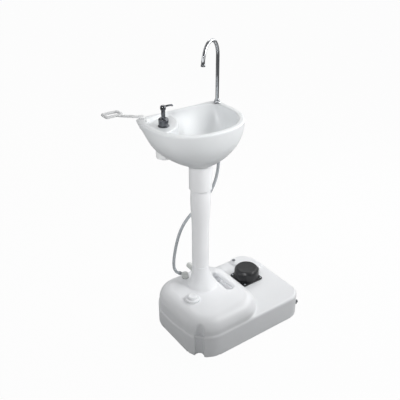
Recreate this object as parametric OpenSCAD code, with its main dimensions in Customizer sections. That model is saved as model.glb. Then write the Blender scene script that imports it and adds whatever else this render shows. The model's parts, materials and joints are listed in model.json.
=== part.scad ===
// Portable handwash station: a water tank that stands on the floor, a foot pump on its deck,
// a hollow column, and a D-shaped basin with a gooseneck faucet, a soap pump and a towel loop.
// Millimetres. The origin is on the floor, on the column's axis: +X along the tank to the
// foot pump's side, +Y to the back, +Z up.

/* [Tank] */
// Length of the tank, left to right
tank_l = 485; // [470:1:520]
// Depth of the tank, front to back
tank_w = 335; // [325:1:360]
// From the tank's left end to the column's axis
column_from_left = 158; // [150:1:165]
// From the tank's front to the column's axis
column_from_front = 219; // [212:1:226]
// Height of the low deck that carries the foot pump
deck_h = 95; // [88:1:104]
// Height of the raised hump that carries the column
hump_h = 150; // [144:1:158]
// Length of the hump from the tank's left end
hump_l = 302; // [294:1:308]
// Height of the raised surround behind the foot pump, above the deck
surround_rise = 13; // [9:1:17]
// Wall of the blow-moulded tank
tank_wall = 3; // [2:0.5:4]
// Plan radius of the two left corners
left_corner_r = 95; // [85:1:100]
// Plan radius of the two right corners
right_corner_r = 60; // [50:1:70]
// Radius along the deck's top edge
deck_edge_r = 10; // [7:1:13]
// Radius along the hump's top edge
hump_edge_r = 46; // [42:1:47]
// How far the hump's wall stands in from the tank's side, which leaves the crease
hump_tuck = 4; // [3:0.5:5]
// Height of the crease on the left side, where it runs lower than in front
low_crease_z = 66; // [58:1:74]
// Radius of the upright groove in the front left corner
groove_r = 19; // [15:1:22]
// Width of the finger slot beside the carrying bar
slot_w = 22; // [18:1:25]
// Length of the finger slot
slot_l = 122; // [100:1:130]
// Height of the finger slot's floor above the low deck
slot_rise = 7; // [4:1:12]
// Height of the carrying bar's own section
bar_h = 27; // [22:1:30]

/* [Filler and drain] */
// Bore of the filler neck
filler_bore = 38; // [32:1:40]
// Diameter of the filler cap's skirt
cap_d = 54; // [50:1:58]
// Diameter of the knob on the filler cap
cap_knob_d = 36; // [30:1:40]
// Bore of the drain hole in the tank's end
drain_bore = 14; // [12:1:16]
// Height of the drain hole above the floor
drain_z = 31; // [26:1:40]

/* [Foot pump] */
// Foot pump's axis, from the column's axis to the right
pump_x = 212; // [208:1:216]
// Foot pump's axis, towards the front from the column's axis
pump_y = 16; // [12:1:20]
// Side of the square pump flange
flange_w = 93; // [91:1:97]
// Thickness of the pump flange
flange_t = 5; // [4:0.5:6]
// Outer diameter of the pump's foot cap
pedal_d = 97; // [96:1:99]
// Height of the foot cap's crown above the flange when it is up
pedal_rise = 45.5; // [43:0.5:50]
// Travel of the foot cap
pedal_stroke = 15; // [12:1:15]
// Wall of the pump's mouldings
pump_wall = 3; // [2.5:0.5:3.5]
// Depth of the pump chamber below the deck
chamber_depth = 51; // [48:1:60]
// Bore of the pump chamber
chamber_bore = 74; // [68:1:75]
// Thickness of the sealing gaskets
gasket_t = 1.5; // [1:0.5:2]
// Wire of the pump spring
pump_wire = 3; // [2:0.5:3.5]
// Coil diameter of the pump spring, at the wire's middle
pump_coil_d = 50; // [44:1:54]

/* [Column] */
// Height of the tank's neck, where the column tube starts
neck_top_z = 240; // [225:1:255]
// Outer diameter of the column tube at its slim part
column_d = 62; // [60:1:64]
// Outer diameter of the column tube where it swells, below the sleeve
swell_d = 71; // [68:1:72]
// How far the column tube reaches up into the sleeve
column_grip = 46; // [36:1:56]
// Wall of the column tube
column_wall = 3; // [2.5:0.5:3.5]
// Radius of the curve by which the neck flares into the hump
flare_r = 139; // [137:1:150]
// Outer diameter of the sleeve under the basin
sleeve_d = 79; // [78:1:82]
// Length of the sleeve between the column and the basin
sleeve_l = 94; // [84:1:102]
// Length of the spigot that the column tube slips over
spigot_l = 45; // [35:1:55]
// Clearance between parts that slip together, each side
slip = 0.3; // [0.2:0.05:0.4]

/* [Basin] */
// Height of the basin's rim above the floor
rim_z = 800; // [790:1:815]
// Half the basin's width at the rim
rim_half_w = 167; // [162:1:172]
// From the basin's widest line to the front of the rim
rim_front = 172; // [166:1:178]
// From the basin's widest line to the straight back of the rim
rim_back = 85; // [82:1:90]
// Height of the basin's body
basin_h = 152; // [148:1:156]
// Width of the rim's flat top
rim_w = 19; // [17:1:21]
// Depth of the bowl
bowl_depth = 140; // [134:1:144]
// Depth of the soap shelf below the rim
shelf_drop = 15; // [12:1:18]
// Radius of the soap shelf's curved edge
shelf_r = 118; // [110:1:122]
// Bore of the drain hole in the bowl
drain_hole_d = 34; // [30:1:36]

/* [Faucet] */
// Outer diameter of the faucet tube
faucet_tube_d = 12; // [10:0.5:13]
// Wall of the faucet tube
faucet_wall = 1.5; // [1:0.25:2]
// Radius of the gooseneck's bend
gooseneck_r = 61; // [52:1:66]
// Height of the gooseneck's straight riser above the rim
riser_h = 165; // [140:1:180]
// Direction of the gooseneck seen from above, from +X
faucet_yaw = 210.6; // [195:0.1:230]

/* [Soap dispenser] */
// Diameter of the soap pump's collar
soap_collar_d = 34; // [30:1:36]
// Height of the soap pump's collar
soap_collar_h = 27; // [24:1:30]
// Length of the soap nozzle
soap_nozzle_l = 35; // [28:1:38]
// Travel of the soap pump
soap_stroke = 12; // [8:1:13]
// Diameter of the soap bottle
bottle_d = 56; // [50:1:58]
// Height of the soap bottle
bottle_h = 100; // [85:1:110]

/* [Towel loop] */
// Thickness of the towel loop
towel_t = 8; // [6:0.5:9]
// Width of the towel loop's bars
towel_bar = 8; // [7:0.5:9]
// Length of the loop, away from the basin
towel_loop_l = 64; // [56:1:72]
// Width of the loop
towel_loop_w = 42; // [36:1:48]

/* [Hose] */
// Outer diameter of the supply hose
hose_d = 11; // [9:0.5:11]
// Sides of the supply hose's section
hose_sides = 8; // [8:1:10]

/* [Hidden] */
$fn = 96;

// Small overlap that keeps cutters clear of the faces they pass
over = 1;

// Tank outline
tank_x0 = -column_from_left;
tank_x1 = tank_l - column_from_left;
tank_y0 = -column_from_front;
tank_y1 = tank_w - column_from_front;
hump_x1 = tank_x0 + hump_l;
hump_foot_z = 30;
hump_left_r = left_corner_r - hump_tuck;
hump_right_r = 96;
surround_x0 = pump_x + 10;
surround_y0 = -pump_y - 6;
surround_x1 = tank_x1 - 22;
surround_r = 50;
surround_edge_r = 7;
surround_foot_z = 60;
well_r = pedal_d / 2 + 23;

// Crease on the left side: the low stretch and its two slopes, along Y
crease_front_y = -122;
crease_low_y = -43;
crease_rise_y = 40;
crease_corner_z = 81;

// Corner groove: its axis lies on the corner's diagonal, a little outside the wall
groove_out = 6;
groove_cx = tank_x0 + left_corner_r - (left_corner_r + groove_out) * sin(45);
groove_cy = tank_y0 + left_corner_r - (left_corner_r + groove_out) * sin(45);
groove_rib_z = 86;
groove_rib_t = 5;

// Finger slot and carrying bar
slot_x0 = 68;
slot_y0 = -94;
slot_floor_z = deck_h + slot_rise;
bar_under_z = hump_h - bar_h;

// Filler neck and its cap
filler_x = -80;
filler_y = -63;
filler_wall = 4;
filler_neck_h = 5;
cap_top_t = 3;
cap_knob_h = 10;
cap_clear = 0.5;

// Drain hole in the right front corner, square to its round wall
drain_angle = -22;
drain_cx = tank_x1 - right_corner_r;
drain_cy = tank_y0 + right_corner_r;

// Foot pump heights
gasket_top_z = deck_h + gasket_t;
flange_top_z = gasket_top_z + flange_t;
pedal_crown_z = flange_top_z + pedal_rise;
pedal_skirt_z = flange_top_z + pedal_stroke + 0.5;
collar_r = pedal_d / 2 - pump_wall - 0.5;
collar_top_z = pedal_skirt_z + 4;
chamber_r = chamber_bore / 2 + pump_wall;
chamber_floor_z = deck_h - chamber_depth + 4;
pedal_edge_r = 10;
pedal_top_t = 3;
piston_h = 8;
piston_z = chamber_floor_z + 2 * pedal_stroke;
piston_slack = 0.3;
seal_d = 3;
rod_d = 20;
intake_d = 12;
intake_wall = 1.5;
strainer_z = tank_wall + 2;
strainer_h = 10;
outlet_z = chamber_floor_z + 6;
outlet_d = 12;
outlet_bend_r = 25;
screw_d = 4;

// Hose elbow on the hump, behind the column to the left
elbow_x = -27;
elbow_y = 62;
elbow_d = 20;
elbow_flange_r = 13;
elbow_seat_z = hump_h + 2;
elbow_centre_z = elbow_seat_z + 12;
nozzle_l = 26;
nozzle_tilt = 35;
nozzle_run = [-cos(nozzle_tilt), 0, sin(nozzle_tilt)];
nozzle_tip = [elbow_x, elbow_y, elbow_centre_z] + nozzle_l * nozzle_run;
pump_to_elbow = atan2(elbow_y + pump_y, elbow_x - pump_x);
pump_to_elbow_l = norm([elbow_x - pump_x, elbow_y + pump_y]);

// Column
column_r = column_d / 2;
column_bore_r = column_r - column_wall;
flare_foot_r = column_r + flare_r - sqrt(pow(flare_r, 2) - pow(neck_top_z - hump_h, 2));
spigot_r = column_bore_r - slip;
spigot_wall = 3;
column_top_r = 34.2;
sleeve_bore_r = column_top_r + slip;
basin_foot_z = rim_z - basin_h;
sleeve_z = basin_foot_z - sleeve_l;
column_top_z = sleeve_z + column_grip;
swell_z = sleeve_z - 39;
swell_start_z = sleeve_z - 169;
sleeve_flange_t = 6;

// Basin outline: shifted a little to the left of the column, widest line behind the axis
basin_cx = -5;
basin_y0 = 50;
basin_foot_r = 39;
bowl_foot_r = 33;
back_wall_w = 8;
shelf_cx = -150;
shelf_cy = 120;
ring_step = 7.5;
drain_seat_z = rim_z - bowl_depth;

// Waste water
waste_d = 25;
waste_wall = 2;
tailpiece_d = 30;
waste_elbow_z = 190;
waste_stub_l = 48;
waste_spigot_d = 22;
waste_spigot_l = 30;

// Faucet
faucet_x = 145;
faucet_y = 105;
faucet_seat_z = rim_z - 44;
faucet_boss_d = 30;
faucet_shank_d = 16;
faucet_base_d = 24;
faucet_base_h = 8;
faucet_tail_z = rim_z - 62;
aerator_h = 8;

// Soap dispenser
soap_x = -104;
soap_y = 58;
shelf_z = rim_z - shelf_drop;
shelf_t = 5;
pocket_r = bottle_d / 2 + 4;
soap_shank_d = 24;
soap_stem_d = 13;
soap_neck_l = 28;
soap_head_h = 15;
soap_head_z = shelf_z + soap_collar_h + soap_neck_l + soap_head_h;
soap_piston_h = 4;
soap_piston_z = shelf_z + 8 + soap_stroke + 1;
soap_floor_z = shelf_z - 14;

// Towel loop
peg_x = -145;
peg_y = 126;
peg_d = 8;
lip_boss_z = rim_z - 26;
towel_z = rim_z + 0.4;
towel_yaw = 137;
towel_neck_l = 74;
towel_neck_w = 10;
towel_loop_shift = [14, -23];

// Supply hose: points chosen by hand, from the faucet's tail to the elbow's nozzle
hose_route = [[faucet_x, faucet_y, faucet_tail_z], [faucet_x, faucet_y, 715], [147, 102, 660],
              [149, 96, 600], [139, 88, 545], [115, 78, 500], [78, 72, 460], [35, 70, 432],
              [-5, 67, 408], [-34, 64, 380], [-54, 62, 345], [-68, 61, 300], [-76, 61, 258],
              [-77, 62, 229], [-74, 62, 210], [-66, 62, 193], nozzle_tip + 7 * nozzle_run,
              nozzle_tip];
hose_steps = 4;

// Exact shapes used by several parts

// A round tube that stands on z
module tube(outer_r, inner_r, z, h) {
    translate([0, 0, z])
        difference() {
            cylinder(r = outer_r, h = h);
            translate([0, 0, -over]) cylinder(r = inner_r, h = h + 2 * over);
        }
}

// A flat ring section for rotate_extrude, from r0 to r1 and z0 to z1
module ring_section(r0, r1, z0, z1) {
    translate([r0, z0]) square([r1 - r0, z1 - z0]);
}

// A quarter disc in the positive corner
module quarter_disc(r) {
    intersection() {
        circle(r = r);
        square([r, r]);
    }
}

// Section through a wall whose outer face is at x = depth and whose top edge is rounded
module edge_section(depth, height, edge_r) {
    square([depth, height - edge_r]);
    square([depth - edge_r, height]);
    translate([depth - edge_r, height - edge_r]) quarter_disc(edge_r);
}

// A flat slab with round plan corners and a rounded top edge, radii right then left
module rounded_slab(x0, x1, y0, y1, z0, z1, right_r, left_r, edge_r) {
    strip = edge_r + 1;
    h = z1 - z0;
    radii = [right_r, left_r, left_r, right_r];
    cx = [x1 - right_r, x0 + left_r, x0 + left_r, x1 - right_r];
    cy = [y1 - right_r, y1 - left_r, y0 + left_r, y0 + right_r];
    inner = [for (k = [0:3]) for (p = [
                [cx[k] + (radii[k] - strip) * cos(90 * k), cy[k] + (radii[k] - strip) * sin(90 * k)],
                [cx[k], cy[k]],
                [cx[k] - (radii[k] - strip) * sin(90 * k), cy[k] + (radii[k] - strip) * cos(90 * k)]]) p];
    runs = [cy[0] - cy[3], cx[0] - cx[1], cy[1] - cy[2], cx[3] - cx[2]];
    translate([0, 0, z0]) {
        linear_extrude(h) polygon(inner);
        for (k = [0:3]) {
            translate([cx[k], cy[k], 0])
                rotate([0, 0, 90 * k])
                    rotate_extrude(angle = 90) edge_section(radii[k], h, edge_r);
            translate([cx[k] + (radii[k] - strip) * cos(90 * k),
                       cy[k] + (radii[k] - strip) * sin(90 * k), 0])
                rotate([0, 0, 90 * k])
                    rotate([90, 0, 0])
                        linear_extrude(runs[k]) edge_section(strip, h, edge_r);
        }
    }
}

// A rectangle with rounded corners, centred
module rounded_plate(w, d, r, z, h) {
    translate([0, 0, z])
        linear_extrude(h)
            union() {
                square([w - 2 * r, d], center = true);
                square([w, d - 2 * r], center = true);
                for (sx = [-1, 1])
                    for (sy = [-1, 1])
                        translate([sx * (w / 2 - r), sy * (d / 2 - r)]) circle(r = r);
            }
}

// Middle of a ring of points
function ring_middle(ring) = [for (axis = [0:2]) let (v = [for (p = ring) p[axis]])
    (max(v) + min(v)) / 2];

// Faces of rings of n points that run counter-clockwise as seen from the last ring's end,
// closed at each end by a fan round the middle point that follows the rings in the list
function loft_faces(rings, n) = concat(
    [for (i = [0:n - 1]) [rings * n, i, (i + 1) % n]],
    [for (k = [0:rings - 2]) for (i = [0:n - 1])
        [k * n + i, (k + 1) * n + i, k * n + (i + 1) % n]],
    [for (k = [0:rings - 2]) for (i = [0:n - 1])
        [k * n + (i + 1) % n, (k + 1) * n + i, (k + 1) * n + (i + 1) % n]],
    [for (i = [0:n - 1])
        [rings * n + 1, (rings - 1) * n + (i + 1) % n, (rings - 1) * n + i]]);

// A closed body through a list of rings of n points each
module loft(rings, n) {
    last = len(rings) - 1;
    points = concat([for (ring = rings) for (p = ring) p],
                    [ring_middle(rings[0]), ring_middle(rings[last])]);
    polyhedron(points = points, faces = loft_faces(last + 1, n), convexity = 6);
}

// Point between b and c on a smooth curve through a, b, c and d
function curve_point(a, b, c, d, t) =
    b + (c - a) * t / 2 + (a - 2.5 * b + 2 * c - d / 2) * t * t
      + (1.5 * b - a / 2 - 1.5 * c + d / 2) * t * t * t;

// Points along a smooth curve through a route, with the given steps between route points
function smooth_route(route, steps) = let (last = len(route) - 1) concat(
    [for (i = [0:last - 1]) for (s = [0:steps - 1])
        curve_point(route[max(i - 1, 0)], route[i], route[i + 1], route[min(i + 2, last)],
                    s / steps)],
    [route[last]]);

// A round tube swept along points whose run never turns towards the side direction
module swept_tube(points, r, sides, side = [0, 1, 0]) {
    last = len(points) - 1;
    rings = [for (i = [0:last])
        let (d = points[min(i + 1, last)] - points[max(i - 1, 0)],
             u = cross(d, side) / norm(cross(d, side)),
             w = cross(d, u) / norm(d))
        [for (k = [0:sides - 1])
            points[i] + r * (u * cos(360 * k / sides) + w * sin(360 * k / sides))]];
    loft(rings, sides);
}

// A compression spring of round wire that stands on z
module coil(coil_r, wire_r, z, h, turns) {
    steps = turns * 12;
    wire = [for (i = [0:steps]) let (a = 360 * turns * i / steps)
        [coil_r * cos(a), coil_r * sin(a), z + wire_r + (h - 2 * wire_r) * i / steps]];
    swept_tube(wire, wire_r, 6, [0, 0, 1]);
}

// Tank: the outside with inset 0, and the space inside with inset tank_wall
module tank_form(inset) {
    difference() {
        union() {
            difference() {
                rounded_slab(tank_x0 + inset, tank_x1 - inset, tank_y0 + inset, tank_y1 - inset,
                             inset, deck_h - inset, right_corner_r - inset,
                             left_corner_r - inset, deck_edge_r - inset);
                crease_cut(inset);
            }
            difference() {
                union() {
                    rounded_slab(tank_x0 + hump_tuck + inset, hump_x1 - inset,
                                 tank_y0 + hump_tuck + inset, tank_y1 - hump_tuck - inset,
                                 hump_foot_z, hump_h - inset, hump_right_r - inset,
                                 hump_left_r - inset, hump_edge_r - inset);
                    rounded_slab(surround_x0 + inset, surround_x1 - inset,
                                 surround_y0 + inset, tank_y1 - 9 - inset,
                                 surround_foot_z, deck_h + surround_rise - inset,
                                 surround_r - inset, 12, max(surround_edge_r - inset, 1));
                }
                translate([pump_x, -pump_y, deck_h - inset])
                    cylinder(r = well_r + inset, h = hump_h);
            }
            neck_form(inset);
            translate([elbow_x, elbow_y, hump_h / 2])
                cylinder(r = elbow_flange_r + 1 - inset, h = elbow_seat_z - inset - hump_h / 2);
        }
        groove_cut(inset);
        slot_cut(inset);
        translate([elbow_x, elbow_y, elbow_seat_z - inset])
            cylinder(r = elbow_flange_r + 2 + inset, h = hump_h);
    }
}

// Space above the low stretch of the crease, on the left side and outside the hump
module crease_cut(inset) {
    reach = left_corner_r * 0.6;
    difference() {
        translate([tank_x0 - over, 0, 0])
            rotate([90, 0, 90])
                linear_extrude(reach)
                    polygon([[groove_cy - 1, deck_h + over], [groove_cy + 2, crease_corner_z - inset],
                             [crease_front_y, crease_corner_z - inset],
                             [crease_low_y, low_crease_z - inset],
                             [crease_rise_y, low_crease_z - inset],
                             [tank_y1 - deck_edge_r, deck_h - inset],
                             [tank_y1 - deck_edge_r, deck_h + over]]);
        rounded_slab(tank_x0 + hump_tuck + inset + 1, hump_x1, tank_y0 + hump_tuck + inset + 1,
                     tank_y1 - hump_tuck - inset - 1, 20, deck_h + 20, hump_right_r,
                     hump_left_r - inset - 1, 1);
    }
}

// Neck: a flare that rises from the hump to the foot of the column tube
module neck_form(inset) {
    rotate_extrude()
        difference() {
            translate([0, hump_foot_z])
                square([flare_foot_r - inset, neck_top_z - hump_foot_z + (inset > 0 ? over : 0)]);
            translate([column_r + flare_r, neck_top_z])
                intersection() {
                    circle(r = flare_r + inset);
                    translate([-2 * flare_r, hump_h - neck_top_z - inset])
                        square([2 * flare_r, 2 * flare_r]);
                }
        }
}

// Upright groove in the front left corner, with a rib across it at the crease
module groove_cut(inset) {
    translate([groove_cx, groove_cy, -over])
        cylinder(r = groove_r + inset, h = groove_rib_z - inset + over);
    translate([groove_cx, groove_cy, groove_rib_z + groove_rib_t - inset])
        cylinder(r = groove_r + inset, h = hump_h);
}

// Finger slot down into the hump, and the way out to the right under the carrying bar
module slot_cut(inset) {
    r = slot_w / 2 + inset;
    slot_cx = slot_x0 + slot_w / 2;
    translate([slot_cx - r, slot_y0 + slot_w / 2, slot_floor_z - inset])
        cube([2 * r, slot_l - slot_w, hump_h]);
    for (y = [slot_y0 + slot_w / 2, slot_y0 + slot_l - slot_w / 2])
        translate([slot_cx, y, slot_floor_z - inset]) cylinder(r = r, h = hump_h);
    translate([slot_cx, slot_y0 + slot_w / 2 - inset, slot_floor_z - inset])
        cube([hump_x1 - slot_cx + over, slot_l - slot_w + 2 * inset,
              bar_under_z - slot_floor_z + 2 * inset]);
}

module water_tank() {
    color("gainsboro")
        difference() {
            union() {
                tank_form(0);
                tube(spigot_r, spigot_r - spigot_wall, neck_top_z - 2, spigot_l + 2);
                translate([filler_x, filler_y, hump_h - tank_wall])
                    cylinder(r = filler_bore / 2 + filler_wall, h = filler_neck_h + tank_wall);
            }
            difference() {
                tank_form(tank_wall);
                translate([0, 0, neck_top_z - 2])
                    tube(column_r, spigot_r - spigot_wall, 0, spigot_l);
            }
            translate([filler_x, filler_y, hump_h - 4 * tank_wall])
                cylinder(d = filler_bore, h = filler_neck_h + 5 * tank_wall);
            translate([pump_x, -pump_y, deck_h - 2 * tank_wall])
                cylinder(r = chamber_r + 1, h = 3 * tank_wall);
            translate([elbow_x, elbow_y, hump_h - 4 * tank_wall])
                cylinder(d = outlet_d + 1, h = 5 * tank_wall);
            at_drain() translate([0, 0, -3 * tank_wall]) cylinder(d = drain_bore, h = 5 * tank_wall);
            translate([0, 0, waste_elbow_z])
                rotate([-90, 0, 0]) cylinder(r = waste_d / 2 + slip, h = waste_stub_l);
            at_vent() cylinder(d = 8, h = 6 * tank_wall, center = true);
            at_pump() flange_screw_holes(deck_h - 2 * tank_wall, 3 * tank_wall, screw_d);
        }
}

// Places what follows on the drain hole, with +Z out of the tank
module at_drain() {
    translate([drain_cx, drain_cy, drain_z])
        rotate([0, 0, drain_angle])
            translate([right_corner_r, 0, 0])
                rotate([0, 90, 0]) children();
}

// Places what follows on the vent hole at the left end of the raised surround
module at_vent() {
    translate([surround_x0 + 10, tank_y1 - 26, deck_h + surround_rise]) children();
}

module filler_cap() {
    neck_r = filler_bore / 2 + filler_wall;
    neck_top = hump_h + filler_neck_h;
    skirt_z = hump_h + cap_clear;
    crown = neck_top + gasket_t + cap_top_t;
    color("white")
        translate([filler_x, filler_y, 0])
            rotate_extrude() {
                ring_section(neck_r + cap_clear, cap_d / 2, skirt_z, crown - 2);
                ring_section(0, cap_d / 2 - 2, neck_top + gasket_t, crown);
                translate([cap_d / 2 - 2, crown - 2]) quarter_disc(2);
                translate([0, crown]) square([cap_knob_d / 2, cap_knob_h - 5]);
                translate([0, crown]) square([cap_knob_d / 2 - 5, cap_knob_h]);
                translate([cap_knob_d / 2 - 5, crown + cap_knob_h - 5]) quarter_disc(5);
            }
}

module cap_gasket() {
    color("dimgray")
        translate([filler_x, filler_y, 0])
            tube(filler_bore / 2 + filler_wall, filler_bore / 2 + 0.5, hump_h + filler_neck_h, gasket_t);
}

module drain_plug() {
    color("#303236")
        at_drain() {
            translate([0, 0, 2]) cylinder(d = drain_bore + 8, h = 5);
            translate([0, 0, 7]) cylinder(d = 12, h = 6);
            translate([0, 0, -8]) cylinder(d = drain_bore - 0.6, h = 10);
        }
}

module drain_plug_seal() {
    color("dimgray")
        at_drain() tube(drain_bore / 2 + 3, drain_bore / 2 + 0.05, 0.4, 1.6);
}

module vent_plug() {
    color("#303236")
        at_vent() {
            cylinder(d = 13, h = 4);
            translate([0, 0, -9]) cylinder(d = 7.6, h = 9);
        }
}

// Places what follows on the foot pump's axis
module at_pump() {
    translate([pump_x, -pump_y, 0]) children();
}

module pump_gasket() {
    color("dimgray")
        at_pump()
            difference() {
                rounded_plate(flange_w - 3, flange_w - 3, 7, deck_h, gasket_t);
                translate([0, 0, deck_h - over]) cylinder(r = chamber_r + 1, h = gasket_t + 2 * over);
                flange_screw_holes(deck_h - over, gasket_t + 2 * over, screw_d + 0.4);
            }
}

// Four screws or holes at the flange's corners
module flange_screw_holes(z, h, d) {
    reach = flange_w / 2 - 7.5;
    for (sx = [-1, 1])
        for (sy = [-1, 1])
            translate([sx * reach, sy * reach, z]) cylinder(d = d, h = h);
}

module pump_body() {
    floor_z = chamber_floor_z - 4;
    color("#26272a")
        at_pump()
            difference() {
                union() {
                    rounded_plate(flange_w, flange_w, 8, gasket_top_z, flange_t);
                    translate([0, 0, gasket_top_z]) cylinder(r = collar_r, h = collar_top_z - gasket_top_z);
                    translate([0, 0, floor_z]) cylinder(r = chamber_r, h = gasket_top_z - floor_z + over);
                    translate([0, 0, floor_z - 10]) cylinder(d = intake_d - 2 * intake_wall - 0.2, h = 11);
                    at_outlet() cylinder(d = outlet_d, h = chamber_r + 8);
                }
                translate([0, 0, gasket_top_z + 2])
                    cylinder(r = collar_r - pump_wall, h = collar_top_z);
                translate([0, 0, chamber_floor_z]) cylinder(d = chamber_bore, h = collar_top_z);
                translate([0, 0, floor_z - 11]) cylinder(d = 5, h = 20);
                at_outlet() translate([0, 0, chamber_bore / 2 - 4]) cylinder(d = 7, h = 20);
                flange_screw_holes(gasket_top_z - over, flange_t + 2 * over, screw_d + 0.4);
            }
}

// Points what follows from the pump's axis to the hose elbow, at the outlet's height
module at_outlet() {
    translate([0, 0, outlet_z])
        rotate([0, 0, pump_to_elbow])
            rotate([0, 90, 0]) children();
}

module pump_screws() {
    thread_l = flange_t + gasket_t + tank_wall;
    color("silver")
        at_pump() {
            flange_screw_holes(flange_top_z, 2, 2 * screw_d);
            flange_screw_holes(flange_top_z - thread_l, thread_l, screw_d);
        }
}

module pump_cap() {
    top = pedal_crown_z;
    skirt_h = top - pedal_skirt_z;
    skirt_r = pedal_d / 2 - pump_wall;
    color("#232427")
        at_pump()
            rotate_extrude() {
                difference() {
                    translate([0, pedal_skirt_z]) edge_section(pedal_d / 2, skirt_h, pedal_edge_r);
                    translate([0, pedal_skirt_z - over])
                        edge_section(skirt_r, skirt_h - pedal_top_t + over, pedal_edge_r - pump_wall);
                }
                ring_section(rod_d / 2 + 0.1, rod_d / 2 + 3, top - pedal_top_t - 10, top - pedal_top_t);
            }
}

module pump_piston() {
    groove_z = piston_z + (piston_h - seal_d) / 2;
    color("gainsboro")
        at_pump()
            rotate_extrude() {
                difference() {
                    ring_section(0, chamber_bore / 2 - piston_slack, piston_z, piston_z + piston_h);
                    ring_section(chamber_bore / 2 - seal_d, chamber_bore / 2,
                                 groove_z, groove_z + seal_d);
                }
                ring_section(rod_d / 2 - 3, rod_d / 2, piston_z + piston_h, pedal_crown_z - pedal_top_t);
            }
}

module piston_seal() {
    color("dimgray")
        at_pump()
            tube(chamber_bore / 2 - 0.05, chamber_bore / 2 - seal_d + 0.05,
                 piston_z + piston_h / 2 - seal_d / 2 + 0.05, seal_d - 0.1);
}

module pump_spring() {
    color("silver")
        at_pump() coil(pump_coil_d / 2, pump_wire / 2, chamber_floor_z, piston_z - chamber_floor_z, 4);
}

module intake_valve() {
    color("dimgray") at_pump() translate([0, 0, chamber_floor_z]) cylinder(d = 16, h = 2);
}

module intake_tube() {
    color("gainsboro")
        at_pump()
            tube(intake_d / 2, intake_d / 2 - intake_wall, strainer_z + strainer_h,
                 chamber_floor_z - 4 - strainer_z - strainer_h);
}

module intake_strainer() {
    color("#303236")
        at_pump()
            difference() {
                translate([0, 0, strainer_z]) cylinder(d = 24, h = strainer_h);
                translate([0, 0, strainer_z + 2]) cylinder(d = intake_d - 2 * intake_wall, h = strainer_h);
                for (a = [0:60:300])
                    rotate([0, 0, a])
                        translate([0, -1.2, strainer_z + 2]) cube([14, 2.4, strainer_h - 4]);
            }
}

module outlet_tube() {
    run = pump_to_elbow_l - chamber_r - 8 - outlet_bend_r;
    rise = elbow_seat_z + gasket_t - outlet_z - outlet_bend_r;
    color("gainsboro")
        at_pump()
            translate([0, 0, outlet_z])
                rotate([0, 0, pump_to_elbow])
                    translate([chamber_r + 8, 0, 0]) {
                        rotate([0, 90, 0]) tube(outlet_d / 2, outlet_d / 2 - 2, 0, run);
                        translate([run, 0, outlet_bend_r])
                            rotate([90, 0, 0])
                                rotate([0, 0, -90])
                                    rotate_extrude(angle = 90)
                                        translate([outlet_bend_r, 0])
                                            difference() {
                                                circle(d = outlet_d);
                                                circle(d = outlet_d - 4);
                                            }
                        translate([run + outlet_bend_r, 0, outlet_bend_r])
                            tube(outlet_d / 2, outlet_d / 2 - 2, 0, rise);
                    }
}

module elbow_gasket() {
    color("dimgray")
        translate([elbow_x, elbow_y, 0])
            tube(elbow_flange_r, outlet_d / 2 + 0.8, elbow_seat_z, gasket_t);
}

// Points what follows from the elbow's centre along its nozzle
module at_nozzle() {
    translate([elbow_x, elbow_y, elbow_centre_z]) rotate([0, nozzle_tilt - 90, 0]) children();
}

module hose_elbow() {
    base_z = elbow_seat_z + gasket_t;
    color("lightgray")
        difference() {
            union() {
                translate([elbow_x, elbow_y, base_z]) {
                    cylinder(r = elbow_flange_r, h = 4);
                    rotate_extrude()
                        edge_section(elbow_d / 2, elbow_centre_z + elbow_d / 2 - base_z, 4);
                }
                at_nozzle() {
                    cylinder(d = hose_d + 3, h = nozzle_l - 9);
                    cylinder(d = hose_d - 2, h = nozzle_l);
                }
            }
            translate([elbow_x, elbow_y, elbow_seat_z])
                cylinder(d = 7, h = elbow_centre_z + 3 - elbow_seat_z);
            at_nozzle() cylinder(d = 5, h = nozzle_l + over);
        }
}

module supply_hose() {
    color("silver") swept_tube(smooth_route(hose_route, hose_steps), hose_d / 2, hose_sides);
}

module hose_clamps() {
    color("silver") {
        translate([faucet_x, faucet_y, faucet_tail_z - 10]) tube(hose_d / 2 + 1.8, hose_d / 2 + 0.3, 0, 7);
        at_nozzle() tube(hose_d / 2 + 2, hose_d / 2 + 0.6, nozzle_l + 0.5, 6);
    }
}

// Share of a smooth step from 0 at a to 1 at b
function smooth_share(z, a, b) = (1 - cos(180 * min(max((z - a) / (b - a), 0), 1))) / 2;

// Outer radius of the column tube at a height: slim below, swelling under the sleeve
function column_outer_r(z) =
    column_r + (swell_d / 2 - column_r) * smooth_share(z, swell_start_z, swell_z)
             - (swell_d / 2 - column_top_r) * smooth_share(z, swell_z, sleeve_z - 2);

module column_tube() {
    swell_steps = 10;
    taper_steps = 4;
    heights = concat([neck_top_z],
                     [for (i = [0:swell_steps]) swell_start_z + (swell_z - swell_start_z) * i / swell_steps],
                     [for (i = [1:taper_steps]) swell_z + (sleeve_z - 2 - swell_z) * i / taper_steps],
                     [column_top_z]);
    color("white")
        rotate_extrude()
            polygon(concat([for (z = heights) [column_outer_r(z), z]],
                           [[column_bore_r, column_top_z], [column_bore_r, neck_top_z]]));
}

module column_sleeve() {
    color("whitesmoke")
        difference() {
            rotate_extrude() {
                difference() {
                    ring_section(sleeve_bore_r, sleeve_d / 2, sleeve_z, basin_foot_z);
                    translate([sleeve_d / 2, sleeve_z]) circle(r = 1.5);
                }
                ring_section(tailpiece_d / 2 + 1, sleeve_bore_r + over,
                             basin_foot_z - sleeve_flange_t, basin_foot_z);
                ring_section(column_bore_r, sleeve_bore_r + over, column_top_z, column_top_z + 4);
            }
            sleeve_screw_holes(basin_foot_z - sleeve_flange_t - over, sleeve_flange_t + 2 * over, 4.4);
        }
}

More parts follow.
